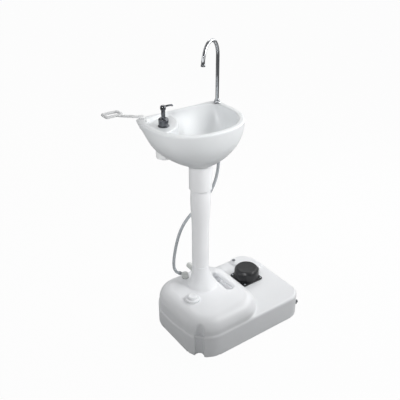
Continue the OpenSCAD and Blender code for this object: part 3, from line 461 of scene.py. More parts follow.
def as_object(name: str, *parts: BMesh, sharp_deg: float = 35.0) -> Obj:
    """Put one or more meshes into one smooth-shaded object with sharp edges kept.

    Args:
        name: the object's name.
        parts: meshes, which are freed.
        sharp_deg: the angle past which an edge stays sharp.

    Returns:
        The object, linked to the scene at the origin.
    """
    whole = bmesh.new()
    for part in parts:
        loose = bpy.data.meshes.new(name + "_part")
        part.to_mesh(loose)
        part.free()
        whole.from_mesh(loose)
        bpy.data.meshes.remove(loose)
    mesh = bpy.data.meshes.new(name)
    whole.to_mesh(mesh)
    whole.free()
    obj = new_object(name, mesh)
    shade(obj, sharp_deg)
    return obj


def settle(obj: Obj) -> None:
    """Replace an object's mesh by what its modifiers make of it, and remove them."""
    graph = bpy.context.evaluated_depsgraph_get()
    made = bpy.data.meshes.new_from_object(obj.evaluated_get(graph), depsgraph=graph)
    obj.modifiers.clear()
    old = obj.data
    obj.data = made
    bpy.data.meshes.remove(old)


def carve(obj: Obj, tool: BMesh, how: Carve = Carve.CUT) -> None:
    """Cut a mesh out of an object, join it to the object, or keep what both share."""
    other = as_object(obj.name + "_tool", tool)
    step = obj.modifiers.new("carve", "BOOLEAN")
    step.operation = how.value
    step.solver = "EXACT"
    step.object = other
    settle(obj)
    bpy.data.objects.remove(other)


def soften(obj: Obj, voxel_mm: float, passes: int) -> None:
    """Skin a closed solid afresh with small even quads and round its edges a little.

    Args:
        obj: the solid.
        voxel_mm: the size of the quads.
        passes: smoothing passes, each of which rounds the edges further.
    """
    skin = obj.modifiers.new("skin", "REMESH")
    skin.mode = "VOXEL"
    skin.voxel_size = voxel_mm * MM
    skin.use_smooth_shade = True
    ease = obj.modifiers.new("ease", "SMOOTH")
    ease.factor = 0.5
    ease.iterations = passes
    settle(obj)
    shade(obj, 60.0)


def freed(obj: Obj) -> BMesh:
    """Take an object's mesh as a loose mesh and remove the object."""
    bm = bmesh.new()
    bm.from_mesh(obj.data)
    bpy.data.objects.remove(obj)
    return bm


def merge_into(obj: Obj, *others: Obj) -> Obj:
    """Add other objects' meshes to an object's own, remove them, and return the object."""
    whole = bmesh.new()
    for one in (obj, *others):
        whole.from_mesh(one.data)
    whole.to_mesh(obj.data)
    whole.free()
    for one in others:
        bpy.data.objects.remove(one)
    return obj


def place_piece(obj: Obj, slot: str, body: Body, node: str) -> None:
    """Dress a piece, let it ride on its body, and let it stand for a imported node.

    Args:
        obj: the finished piece.
        slot: the record's material slot, which also picks the finish.
        body: what the piece moves with.
        node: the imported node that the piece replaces.
    """
    obj.data.materials.clear()
    obj.data.materials.append(MATERIALS[slot])
    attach(obj, body.value)
    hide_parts(node)
    LOG.info("%s: %d faces, %s, on %s", obj.name, len(obj.data.polygons), slot, body.value)


# ---------------------------------------------------------------- geometry nodes

def start_tree(name: str, sizes: dict[str, str]) -> tuple[Tree, Any]:
    """Start a geometry tree that takes a geometry, a material and named sizes.

    Args:
        name: the tree's name.
        sizes: input names, each with Float for a length or Int for a count.

    Returns:
        The tree and the sockets that give its inputs.
    """
    tree = bpy.data.node_groups.new(name, "GeometryNodeTree")
    for label, kind in ({"Geometry": "Geometry", "Material": "Material"} | sizes).items():
        tree.interface.new_socket(label, in_out="INPUT", socket_type="NodeSocket" + kind)
    tree.interface.new_socket("Geometry", in_out="OUTPUT", socket_type="NodeSocketGeometry")
    return tree, add_node(tree, "NodeGroupInput").outputs


def end_tree(tree: Tree, given: Any, shape: Socket) -> Tree:
    """Realise the shape, shade it smooth, give it its material and end the tree."""
    real = wire(tree, "GeometryNodeRealizeInstances", "Geometry", {"Geometry": shape})
    smooth = wire(tree, "GeometryNodeSetShadeSmooth", "Geometry", {"Geometry": real})
    add_node(tree, "NodeGroupOutput", {0: wire(tree, "GeometryNodeSetMaterial", "Geometry", {
        "Geometry": smooth, "Material": given["Material"]})})
    return tree


def joined(tree: Tree, *shapes: Socket) -> Socket:
    """Join shapes in a geometry tree."""
    join = add_node(tree, "GeometryNodeJoinGeometry")
    for shape in shapes:
        tree.links.new(shape, join.inputs["Geometry"])
    return join.outputs["Geometry"]


def on_points(tree: Tree, points: Socket, shape: Socket) -> Socket:
    """Stand a shape on every point."""
    return wire(tree, "GeometryNodeInstanceOnPoints", "Instances", {
        "Points": points, "Instance": shape})


def along(tree: Tree, curve: Socket, radius: Socket, sides: Socket | int) -> Socket:
    """Draw a round section along a curve, with closed ends."""
    circle = wire(tree, "GeometryNodeCurvePrimitiveCircle", "Curve", {
        "Resolution": sides, "Radius": radius})
    return wire(tree, "GeometryNodeCurveToMesh", "Mesh", {
        "Curve": curve, "Profile Curve": circle, "Fill Caps": True})


@cache
def tube_tree() -> Tree:
    """A round tube that follows a run of points."""
    tree, given = start_tree("tube_on_a_path", {"Radius": "Float", "Sides": "Int"})
    curve = wire(tree, "GeometryNodeMeshToCurve", "Curve", {"Mesh": given["Geometry"]})
    return end_tree(tree, given, along(tree, curve, given["Radius"], given["Sides"]))


@cache
def coil_tree() -> Tree:
    """A wire coil that stands on a point."""
    tree, given = start_tree("wire_coil", {
        "Coil Radius": "Float", "Wire Radius": "Float", "Height": "Float", "Turns": "Int"})
    spiral = wire(tree, "GeometryNodeCurveSpiral", "Curve", {
        "Resolution": 32, "Rotations": given["Turns"], "Start Radius": given["Coil Radius"],
        "End Radius": given["Coil Radius"], "Height": given["Height"]})
    coil = along(tree, spiral, given["Wire Radius"], 10)
    return end_tree(tree, given, on_points(tree, given["Geometry"], coil))


@cache
def rib_ring_tree() -> Tree:
    """Upright grip ribs in a ring round a point."""
    tree, given = start_tree("ring_of_ribs", {
        "Count": "Int", "Ring Radius": "Float", "Rib Radius": "Float", "Rib Height": "Float"})
    ring = wire(tree, "GeometryNodeMeshCircle", "Mesh", {
        "Vertices": given["Count"], "Radius": given["Ring Radius"]})
    rib = wire(tree, "GeometryNodeMeshCylinder", "Mesh", {
        "Vertices": 8, "Radius": given["Rib Radius"], "Depth": given["Rib Height"]})
    return end_tree(tree, given, on_points(tree, given["Geometry"],
                                           on_points(tree, ring, rib)))


@cache
def screw_tree() -> Tree:
    """Pan-head screws with a cross recess, one on each point, heads up."""
    tree, given = start_tree("pan_head_screws", {
        "Head Radius": "Float", "Head Height": "Float", "Thread Radius": "Float",
        "Thread Length": "Float"})
    ball = wire(tree, "GeometryNodeMeshUVSphere", "Mesh", {
        "Segments": 24, "Rings": 12, "Radius": 1.0})
    size = wire(tree, "ShaderNodeCombineXYZ", "Vector", {
        "X": given["Head Radius"], "Y": given["Head Radius"], "Z": given["Head Height"]})
    dome = wire(tree, "GeometryNodeTransform", "Geometry", {"Geometry": ball, "Scale": size})
    cross = joined(tree, *(wire(tree, "GeometryNodeTransform", "Geometry", {
        "Geometry": wire(tree, "GeometryNodeMeshCube", "Mesh", {"Size": bar}),
        "Translation": (0.0, 0.0, 0.002)})
        for bar in ((0.0042, 0.0009, 0.002), (0.0009, 0.0042, 0.002))))
    head = wire(tree, "GeometryNodeMeshBoolean", "Mesh", {
        "Mesh 1": dome, "Mesh 2": cross}, operation="DIFFERENCE")
    thread = wire(tree, "GeometryNodeMeshCylinder", "Mesh", {
        "Vertices": 16, "Radius": given["Thread Radius"], "Depth": given["Thread Length"]})
    down = wire(tree, "ShaderNodeCombineXYZ", "Vector", {
        "Z": maths(tree, "MULTIPLY", given["Thread Length"], -0.5)})
    low = wire(tree, "GeometryNodeTransform", "Geometry", {
        "Geometry": thread, "Translation": down})
    return end_tree(tree, given, on_points(tree, given["Geometry"], joined(tree, head, low)))


def grow(name: str, tree: Tree, slot: str, sizes: Sequence[float], points: Sequence[Point3],
         run: bool = False) -> Obj:
    """Run a geometry tree on points or on a run of points, and keep the mesh that it makes.

    Args:
        name: the new object's name.
        tree: the geometry tree.
        slot: the material slot that picks the finish.
        sizes: the tree's named sizes in their order, lengths in millimetres.
        points: points in millimetres.
        run: whether edges join the points in order.

    Returns:
        The object, with its mesh made and its modifier gone.
    """
    mesh = bpy.data.meshes.new(name)
    edges = [(i, i + 1) for i in range(len(points) - 1)] if run else []
    mesh.from_pydata([Vector(p) * MM for p in points], edges, [])
    obj = new_object(name, mesh)
    step = obj.modifiers.new("grow", "NODES")
    step.node_group = tree
    _, material, *rest = [item for item in tree.interface.items_tree
                          if item.in_out == "INPUT"]
    step[material.identifier] = MATERIALS[slot]
    for item, size in zip(rest, sizes, strict=True):
        count = item.socket_type == "NodeSocketInt"
        step[item.identifier] = size if count else size * MM
    settle(obj)
    return obj


def spring_on(name: str, node: str, foot: Point3, top: float, radius: float,
              wire_radius: float, turns: int) -> Obj:
    """Make and dress a coil spring that stands on a foot and ends at a top."""
    x, y, z = foot
    spring = grow(name, coil_tree(), "stainless_steel",
                  (radius, wire_radius, top - z - 2 * wire_radius, turns),
                  [(x, y, z + wire_radius)])
    place_piece(spring, "stainless_steel", Body.STAND, node)
    return spring


# ---------------------------------------------------------------- sub-assemblies

@dataclass
class WaterTank:
    """The blow-moulded tank with its filler cap, drain plug and vent plug, in millimetres.

    A rectangle is left, right, front and back; a round form is its centre and radius.
    """

    left: float = -158.0
    right: float = 327.0
    front: float = -219.0
    back: float = 116.0
    deck: float = 95.0
    left_corner: float = 95.0
    right_corner: float = 60.0
    deck_edge: float = 10.0
    hump_top: float = 150.0
    hump_right: float = 144.0
    hump_corner: float = 96.0
    hump_edge: float = 46.0
    tuck: float = 4.0
    low_crease: float = 66.0
    surround: tuple[float, float, float, float] = (222.0, 305.0, -22.0, 107.0)
    surround_top: float = 108.0
    surround_edges: Point3 = (50.0, 12.0, 7.0)
    well: Point3 = (212.0, -16.0, 71.5)
    pump_bore: float = 41.0
    groove: Point3 = (-135.5, -183.8, 16.5)
    groove_rib: Point2 = (86.0, 91.0)
    slot: tuple[float, float, float, float] = (60.0, 90.0, -94.0, 28.0)
    slot_floor: float = 102.0
    bar_under: float = 132.0
    bar_radius: float = 9.0
    neck_radius: float = 31.0
    neck_top: float = 240.0
    flare: float = 139.0
    flare_lean: float = 0.3
    column_bore: float = 24.9
    elbow: Point3 = (-27.0, 62.0, 152.0)
    elbow_boss: float = 14.0
    waste_height: float = 190.0
    waste_bore: float = 12.8
    skin_voxel: float = 2.7
    skin_passes: int = 4
    filler: Point2 = (-80.0, -63.0)
    filler_top: float = 155.0
    filler_boss: float = 23.0
    filler_bore: float = 19.0
    cap_radius: float = 27.0
    knob_radius: float = 18.0
    knob_top: float = 169.5
    drain_centre: Point2 = (267.0, -159.0)
    drain_reach: float = 60.0
    drain_height: float = 31.0
    drain_turn_deg: float = -22.0
    drain_bore: float = 7.2
    vent: Point3 = (232.0, 90.0, 108.0)
    vent_bore: float = 4.2

    def crease(self) -> BMesh:
        """Make what the low stretch of the crease takes off the left side."""
        gy = self.groove[1]
        run = [(gy - 1, 96), (self.back - 10, 96), (self.back - 10, self.deck),
               (40, self.low_crease), (-43, self.low_crease), (-122, 81), (gy + 2, 81)]
        wedge = as_object("wedge", loft([[(x, y, z) for y, z in run]
                                         for x in (self.left - 1, self.left + 56)]))
        t = self.tuck + 1
        carve(wedge, block(self.left + t, self.hump_right, self.front + t, self.back - t, 20,
                           self.deck + 20, self.hump_corner, self.left_corner - t, 1))
        return freed(wedge)

    def neck(self) -> BMesh:
        """Make the flared neck, whose foot spreads less on the left than on the right."""
        rings = []
        for k in range(-1, 31):
            z = self.hump_top + (self.neck_top - self.hump_top) * max(k, 0) / 30
            spread_by = self.flare - math.sqrt(self.flare ** 2 - (self.neck_top - z) ** 2)
            lean = self.flare_lean * spread_by
            r = self.neck_radius + spread_by - lean
            rings.append([(0.815 * lean + r * math.cos(a), -0.579 * lean + r * math.sin(a),
                           40 if k < 0 else z) for a in full_turn(160)])
        return loft(rings)

    def rib(self) -> Obj:
        """Make the thin rib across the corner groove, as far out as the tank's wall."""
        gx, gy, gr = self.groove
        disc = as_object("groove_rib", rod(gr + 1, *self.groove_rib, at(gx, gy)))
        carve(disc, block(self.left + 1, self.right, self.front + 1, self.back, 0,
                          self.deck + 20, self.right_corner, self.left_corner - 1, 1),
              Carve.MEET)
        return disc

    def bar_round(self) -> BMesh:
        """Make what rounds the carrying bar's upper edge along the finger slot."""
        _, x, y0, y1 = self.slot
        r, top = self.bar_radius, self.hump_top
        arc = [(x + r - r * math.cos(a), top - r + r * math.sin(a)) for a in quarter(8)]
        run = [(x - 1, top - r)] + arc + [(x + r, top + 2), (x - 1, top + 2)]
        return loft([[(px, y, pz) for px, pz in run] for y in (y0 + 3, y1 - 3)])

    def drain_place(self) -> Matrix:
        """Where the drain hole's rim is, with Z pointing out of the tank."""
        angle = math.radians(self.drain_turn_deg)
        turn = Matrix.Rotation(angle, 4, "Z") @ Matrix.Rotation(math.pi / 2, 4, "Y")
        cx, cy = self.drain_centre
        return at(cx + self.drain_reach * math.cos(angle),
                  cy + self.drain_reach * math.sin(angle), self.drain_height, turn)

    def shell(self) -> Obj:
        """Make the tank's moulding as one softly rounded form.

        Returns:
            The tank's object: the low deck, the hump with its flared neck, finger slot and
            corner groove, the surround behind the pump, and the holes.
        """
        t = self.tuck
        body = as_object("tank_moulding", block(
            self.left, self.right, self.front, self.back, 0, self.deck, self.right_corner,
            self.left_corner, self.deck_edge))
        carve(body, self.crease())
        high = as_object("high_forms", block(
            self.left + t, self.hump_right, self.front + t, self.back - t, 30,
            self.hump_top, self.hump_corner, self.left_corner - t, self.hump_edge))
        carve(high, block(*self.surround, 60, self.surround_top, *self.surround_edges),
              Carve.JOIN)
        well, elbow, filler = at(*self.well[:2]), at(*self.elbow[:2]), at(*self.filler)
        carve(high, rod(self.well[2], 80, 200, well, 160))
        carve(body, freed(high), Carve.JOIN)
        carve(body, self.neck(), Carve.JOIN)
        elbow_seat = self.elbow[2]
        carve(body, rod(self.elbow_boss, 100, elbow_seat, elbow), Carve.JOIN)
        carve(body, rod(self.elbow_boss + 1, elbow_seat, 200, elbow))
        carve(body, rod(self.groove[2], -5, 200, at(*self.groove[:2]), 96))
        x0, x1, y0, y1 = self.slot
        carve(body, slab(x0, x1, y0, y1, self.slot_floor, 220, (x1 - x0) / 2, 0.4))
        carve(body, slab((x0 + x1) / 2, self.hump_right + 2, y0 + 11, y1 - 11,
                         self.slot_floor, self.bar_under, 0.4, 0.3))
        carve(body, self.bar_round())
        carve(body, rod(self.filler_boss, 120, self.filler_top, filler, 96), Carve.JOIN)
        backwards = Matrix.Rotation(-math.pi / 2, 4, "X")
        for bore, z0, z1, place in (
                (self.filler_bore, 110, 200, filler), (self.pump_bore, 40, 97, well),
                (self.vent_bore, -12, 5, at(*self.vent)),
                (self.column_bore, 130, 300, at(0, 0)),
                (self.drain_bore, -14, 5, self.drain_place()),
                (self.waste_bore, 10, 60, at(0, 0, self.waste_height, backwards))):
            carve(body, rod(bore, z0, z1, place))
        soften(body, self.skin_voxel, self.skin_passes)
        spigot = as_object("spigot", turned([
            (self.column_bore, 236, 0), (self.column_bore + 3, 236, 0),
            (self.column_bore + 3, 285, 1), (self.column_bore, 285, 0)], at(0, 0), tube=True))
        return merge_into(body, spigot, self.rib())

    def cap(self) -> Obj:
        """Make the filler cap: a skirted disc with a round knob, both with grip ribs."""
        foot = self.filler_top + 1.5
        crown = foot + 3
        r, knob, top = self.cap_radius, self.knob_radius, self.knob_top
        body = as_object("filler_cap_moulding", turned([
            (0, foot, 0), (23.4, foot, 0.4), (23.4, 150.6, 0.4), (r - 1, 150.6, 0.8),
            (r - 0.6, crown - 2, 1.2), (r - 2.4, crown, 1.6), (knob + 1.5, crown, 1.5),
            (knob, crown + 1.8, 1.5), (knob - 0.8, top - 2, 2), (knob - 4, top, 2.5),
            (9, top, 1.0), (7, top - 0.7, 1.0), (0, top - 0.7, 0)], at(*self.filler)))
        x, y = self.filler
        skirt_grip = grow("skirt_grip", rib_ring_tree(), "tank_plastic",
                          (48, r - 0.9, 0.75, 5.0), [(x, y, 154.0)])
        knob_grip = grow("knob_grip", rib_ring_tree(), "tank_plastic",
                         (20, knob - 0.6, 1.0, 6.0), [(x, y, 164.0)])
        return merge_into(body, skirt_grip, knob_grip)

    def plug(self) -> Obj:
        """Make the drain plug: a flange, a ribbed finger knob and its shank."""
        body = as_object("drain_plug_moulding", turned([
            (0, -8, 0), (6.7, -8, 0.6), (6.7, 2, 0), (10.8, 2, 0.5), (10.8, 6.4, 1.4),
            (8, 7, 0.6), (6, 7.2, 0.5), (5.6, 12.8, 1.4), (0, 12.8, 0)], at(0, 0), 64))
        merge_into(body, grow("plug_grip", rib_ring_tree(), "dark_plastic",
                              (16, 5.4, 0.6, 4.4), [(0, 0, 10.0)]))
        body.data.transform(self.drain_place())
        return body

    def vent_plug(self) -> Obj:
        """Make the vent plug: a small domed head on a shank."""
        return as_object("vent_plug_moulding", turned([
            (0, -9, 0), (3.8, -9, 0.6), (3.8, 0, 0), (6.4, 0.05, 0.3), (6.4, 2.4, 1.2),
            (4.0, 3.9, 1.5), (0, 4.0, 0)], at(*self.vent), 48))

    def build(self) -> None:
        """Make and dress the tank's pieces."""
        place_piece(self.shell(), "tank_plastic", Body.STAND, "water_tank")
        place_piece(self.cap(), "tank_plastic", Body.FILLER, "filler_cap")
        place_piece(self.plug(), "dark_plastic", Body.DRAIN, "drain_plug")
        place_piece(self.vent_plug(), "dark_plastic", Body.STAND, "vent_plug")


@dataclass
class FootPump:
    """The black foot pump on the deck, in millimetres."""

    axis: Point2 = (212.0, -16.0)
    deck: float = 95.0
    gasket: float = 1.5
    flange: float = 93.0
    flange_thick: float = 5.0
    screw_inset: float = 7.5
    cap_radius: float = 48.5
    crown: float = 147.0
    skirt_foot: float = 117.0
    collar_radius: float = 44.6
    collar_top: float = 119.5
    chamber_radius: float = 37.0
    chamber_floor: float = 48.0
    spring_radius: float = 25.0
    spring_wire: float = 1.5
    spring_top: float = 78.0
    outlet_turn: float = math.atan2(62 + 16, -27 - 212)

    def foot_cap(self) -> Obj:
        """Make the domed foot cap: a crowned top, a big shoulder and a straight skirt."""
        r, top = self.cap_radius, self.crown
        outside = rounded_profile([
            (0, top, 0), (r * 0.45, top - 0.35, 6), (r - 9.5, top - 1.6, 6),
            (r - 1.2, top - 11, 12), (r, self.skirt_foot + 0.2, 0.6)], 8)
        inside = rounded_profile([
            (r - 2.8, self.skirt_foot, 0.4), (r - 2.8, top - 11.5, 4), (r - 12, top - 4.6, 6),
            (13, top - 3.2, 0.5), (13, top - 13, 0.4), (10.1, top - 13, 0.4),
            (10.1, top - 3, 0), (0, top - 3, 0)])
        return as_object("foot_cap_dome", shift(revolve(outside + inside, 128),
                                                at(*self.axis)), sharp_deg=45)

    def housing(self) -> Obj:
        """Make the pump housing: a square flange, the collar under the cap and the chamber."""
        x, y = self.axis
        half, bore = self.flange / 2, self.chamber_radius
        z0 = self.deck + self.gasket
        z1 = z0 + self.flange_thick
        plate = as_object("pump_housing", slab(x - half, x + half, y - half, y + half,
                                               z0, z1, 8, 1.2))
        carve(plate, rod(bore, z0 - 2, z1 + 2, at(x, y), 96))
        shade(plate)
        collar, top, floor = self.collar_radius, self.collar_top, self.chamber_floor
        wall = turned([(bore + 0.2, z0 + 2, 0), (collar, z0 + 2, 0), (collar, top, 0.8),
                       (42, top, 0.8), (42, z0 + 3, 0.5), (bore + 0.2, z0 + 3, 0.5)],
                      at(x, y), tube=True)
        chamber = shift(revolve([
            (bore, z0 + 2), (bore + 3, z0 + 2), (bore + 3, floor - 4), (0, floor - 4),
            (0, floor), (bore, floor)], tube=True), at(x, y))
        turn = Matrix.Rotation(self.outlet_turn, 4, "Z") @ Matrix.Rotation(math.pi / 2, 4, "Y")
        spout = shift(revolve([(3.5, 38.5), (6, 38.5), (6, 48), (3.5, 48)], 32, tube=True),
                      at(x, y, 54, turn))
        return merge_into(plate, as_object("pump_housing_rest", wall, chamber, spout))

    def build(self) -> None:
        """Make and dress the foot pump's pieces."""
        x, y = self.axis
        place_piece(self.foot_cap(), "pump_plastic", Body.FOOT_PLUNGER, "pump_cap")
        place_piece(self.housing(), "pump_plastic", Body.STAND, "pump_body")
        reach = self.flange / 2 - self.screw_inset
        top = self.deck + self.gasket + self.flange_thick
        heads = grow("flange_screws", screw_tree(), "zinc_steel", (4.0, 2.0, 2.0, 9.5),
                     [(x + i * reach, y + j * reach, top) for i in (-1, 1) for j in (-1, 1)])
        place_piece(heads, "zinc_steel", Body.STAND, "pump_screws")
        spring = spring_on("foot_spring_coil", "pump_spring", (x, y, self.chamber_floor),
                           self.spring_top, self.spring_radius, self.spring_wire, turns=4)
        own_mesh(spring)


@dataclass
class Column:
    """The hollow column and the sleeve under the basin, in millimetres."""

    foot: float = 240.0
    top: float = 600.0
    radius: float = 31.0
    swell_radius: float = 35.5
    swell_height: float = 515.0
    swell_start: float = 385.0
    top_radius: float = 34.2
    wall: float = 3.0
    sleeve_foot: float = 554.0
    sleeve_top: float = 648.0
    sleeve_radius: float = 39.5
    sleeve_hole: float = 16.2

    def outer(self, z: float) -> float:
        """The tube's outer radius at a height."""
        def share(a: float, b: float) -> float:
            """Share of a smooth step from 0 at a to 1 at b."""
            return (1 - math.cos(math.pi * min(max((z - a) / (b - a), 0), 1))) / 2
        return (self.radius
                + (self.swell_radius - self.radius) * share(self.swell_start,
                                                            self.swell_height)
                - (self.swell_radius - self.top_radius) * share(self.swell_height,
                                                                self.sleeve_foot - 2))

    def build(self) -> None:
        """Make and dress the column tube and the sleeve."""
        steps = 60
        heights = [self.foot + (self.top - self.foot) * k / steps for k in range(steps + 1)]
        bore = self.radius - self.wall
        profile = ([(bore, self.foot + 0.1), (self.radius - 0.7, self.foot + 0.1)]
                   + [(self.outer(z), z + (0.8 if i == 0 else 0))
                      for i, z in enumerate(heights)] + [(bore, self.top)])
        tube = as_object("column_moulding", revolve(profile, 128, tube=True))
        place_piece(tube, "column_plastic", Body.STAND, "column_tube")
        r, inner, hole = self.sleeve_radius, self.top_radius + 0.3, self.sleeve_hole
        foot, top = self.sleeve_foot, self.sleeve_top
        sleeve = turned([
            (inner, foot + 0.6, 0), (r - 1.2, foot, 0.8), (r, foot + 1.6, 1.2),
            (r, top - 4.4, 0), (r - 0.7, top - 3.9, 0), (r - 0.7, top - 3.1, 0),
            (r, top - 2.6, 0), (r, top, 0), (hole, top, 0), (hole, top - 6, 0),
            (inner, top - 6, 0)], at(0, 0), 128, tube=True)
        place_piece(as_object("sleeve_moulding", sleeve), "column_plastic", Body.STAND,
                    "column_sleeve")


@dataclass(frozen=True)
class Skin:
    """The outside or the bowl of the basin: a D at the rim that narrows to a round foot.

    The reaches to the side, the front and the back are those at the rim, from the point
    where the basin is widest. How square the back is fades with depth.
    """

    deep: float
    side: float
    front: float
    back: float
    foot: float
    sharp: float
    square: float
    square_fade: int


@dataclass
class Basin:
    """The D-shaped basin with its bowl and soap shelf, in millimetres."""

    rim: float = 800.0
    outside: Skin = Skin(deep=152.0, side=167.0, front=122.0, back=135.0, foot=39.0,
                         sharp=2.5, square=9.8, square_fade=10)
    bowl: Skin = Skin(deep=140.0, side=148.0, front=103.0, back=127.0, foot=33.0, sharp=3.2,
                      square=1.3, square_fade=3)
    centre_x: float = -5.0
    widest_y: float = 50.0
    rim_round: float = 4.0
    shelf: Point3 = (-150.0, 120.0, 118.0)
    shelf_height: float = 785.0
    shelf_thick: float = 5.0
    soap: Point2 = (-104.0, 58.0)
    soap_bore: float = 12.4
    pocket_radius: float = 32.0
    drain_bore: float = 17.0
    faucet: Point2 = (145.0, 105.0)
    faucet_boss: float = 15.0
    faucet_bore: float = 8.4
    peg: Point2 = (-145.0, 126.0)
    peg_boss: float = 9.0
    peg_bore: float = 4.3
    boss_top: float = 796.0
    around: int = 144
    voxel: float = 2.3
    passes: int = 7

    def ring(self, skin: Skin, depth: float, widen: float) -> list[Point3]:
        """One D-shaped ring, rounded in front and square-ish at the back corners.

        Args:
            skin: the skin that the ring is a part of.
            depth: how far the ring is below the rim.
            widen: how much the edge's rounding widens it.

        Returns:
            The ring's points.
        """
        u = depth / skin.deep
        held = min(max(u, 0.0), 1.0)
        k, kb = (1 - held ** skin.sharp) ** 0.85, 1 - held ** 1.5
        y0, foot = self.widest_y * k, skin.foot
        side = foot + (skin.side - foot) * k + widen
        front = (foot + (skin.front - foot) * k + y0 + widen, 2 + 0.35 * k)
        back = (foot + (skin.back - foot) * kb - y0 + widen,
                2.2 + skin.square * (1 - max(u, 0.0)) ** skin.square_fade)
        ring = []
        for c, s in ((math.cos(a), math.sin(a)) for a in full_turn(self.around)):
            reach, n = back if s > 0.001 else front
            r = ((abs(c) / side) ** n + (abs(s) / reach) ** n) ** (-1 / n)
            ring.append((self.centre_x * k + r * c, y0 + r * s, self.rim - depth))
        return ring

    def moulding(self) -> Obj:
        """Make the basin's one moulding, carved as a solid and then softly rounded."""
        rise = [self.rim_round * (1 - math.cos(a)) for a in quarter(5)]
        pull = [self.rim_round * (1 - math.sin(a)) for a in quarter(5)]

        def rings(skin: Skin, way: int) -> list[list[Point3]]:
            """A skin's rings, closer at both ends, widened or narrowed by the edge."""
            down = [rise[-1] + (skin.deep - rise[-1]) * math.sin(a) for a in quarter(30)[1:]]
            return ([self.ring(skin, d, way * w) for d, w in zip(rise, pull)]
                    + [self.ring(skin, d, 0.0) for d in down])
        low, top, shelf = self.rim - self.outside.deep, self.rim + 2, self.shelf_height
        faucet, soap, peg = at(*self.faucet), at(*self.soap), at(*self.peg)
        hollow = as_object("hollow", loft(
            [self.ring(self.bowl, -1.0, self.rim_round + 1)] + rings(self.bowl, 1)))
        cx, cy, r = self.shelf
        carve(hollow, shift(revolve([(0, low), (r, low), (r, shelf - 2), (r - 2, shelf),
                                     (0, shelf)], 180), at(cx, cy)))
        carve(hollow, rod(self.faucet_boss, low, top, faucet, 96))
        body = as_object("basin_moulding", loft(rings(self.outside, -1)))
        carve(body, rod(self.faucet_boss, 756, self.boss_top, faucet, 96), Carve.JOIN)
        carve(body, rod(self.peg_boss, 774, self.boss_top, peg, 96), Carve.JOIN)
        carve(body, freed(hollow))
        for radius, z0, z1, place in (
                (self.pocket_radius, low - 2, shelf - self.shelf_thick, soap),
                (self.soap_bore, low, top, soap), (self.drain_bore, low - 2, 700, at(0, 0)),
                (self.faucet_bore, low, top, faucet), (self.peg_bore, low, top, peg)):
            carve(body, rod(radius, z0, z1, place))
        soften(body, self.voxel, self.passes)
        return body

    def build(self) -> None:
        """Make and dress the basin."""
        place_piece(self.moulding(), "basin_plastic", Body.STAND, "basin")


@dataclass
class Faucet:
    """The plated gooseneck faucet, in millimetres."""

    axis: Point2 = (145.0, 105.0)
    rim: float = 800.0
    radius: float = 6.0
    bend_radius: float = 61.0
    bend_height: float = 965.0
    foot: float = 790.0
    yaw_deg: float = 210.6
    base_top: float = 809.5
    tail_foot: float = 738.0

    def path(self) -> list[Point3]:
        """The spout's centreline, up the riser and round the half circle."""
        x, y = self.axis
        yaw = math.radians(self.yaw_deg)
        points = [(x, y, self.foot + (self.bend_height - self.foot) * k / 8)
                  for k in range(8)]
        for a in (math.pi * k / 48 for k in range(49)):
            out = self.bend_radius * (1 - math.cos(a))
            points.append((x + out * math.cos(yaw), y + out * math.sin(yaw),
                           self.bend_height + self.bend_radius * math.sin(a)))
        return points

    def build(self) -> None:
        """Make and dress the faucet's pieces."""
        route = self.path()
        spout = grow("spout_tube", tube_tree(), "chromed_brass", (self.radius, 40), route,
                     run=True)
        z = self.base_top
        ring = as_object("spout_collar", turned([
            (5.5, z + 0.3, 0), (8, z + 0.3, 0.6), (8, z + 4.3, 1.2), (5.5, z + 4.3, 0)],
            at(*self.axis), 48, tube=True))
        place_piece(merge_into(spout, ring), "chromed_brass", Body.SPOUT, "gooseneck_spout")
        z, step, tail = self.rim + 1.5, self.rim - 12, self.tail_foot
        base = as_object("faucet_base_turning", turned([
            (6.1, step, 0), (6.1, z + 8, 0.3), (9, z + 8, 0), (10, z + 7.4, 1.5),
            (10.6, z + 3, 2.0), (12, z + 1.6, 1.0), (12, z, 0.3), (8, z, 0),
            (8, tail + 4, 0.3), (4, tail + 4, 0), (4, tail, 0.4), (2.5, tail, 0),
            (2.5, step, 0)], at(*self.axis), 64, tube=True))
        place_piece(base, "chromed_brass", Body.STAND, "faucet_base")
        x, y, top = route[-1][0], route[-1][1], self.bend_height
        nozzle = as_object("aerator_turning", turned([
            (5.2, top, 0), (7.2, top, 0.6), (7.4, top - 7.4, 0.8), (5.6, top - 8, 0.4),
            (5.4, top - 6.4, 0), (0, top - 6.4, 0)], at(x, y), 48))
        grip = grow("aerator_grip", rib_ring_tree(), "chromed_brass", (28, 7.0, 0.45, 4.0),
                    [(x, y, top - 4.2)])
        place_piece(merge_into(nozzle, grip), "chromed_brass", Body.SPOUT, "aerator")


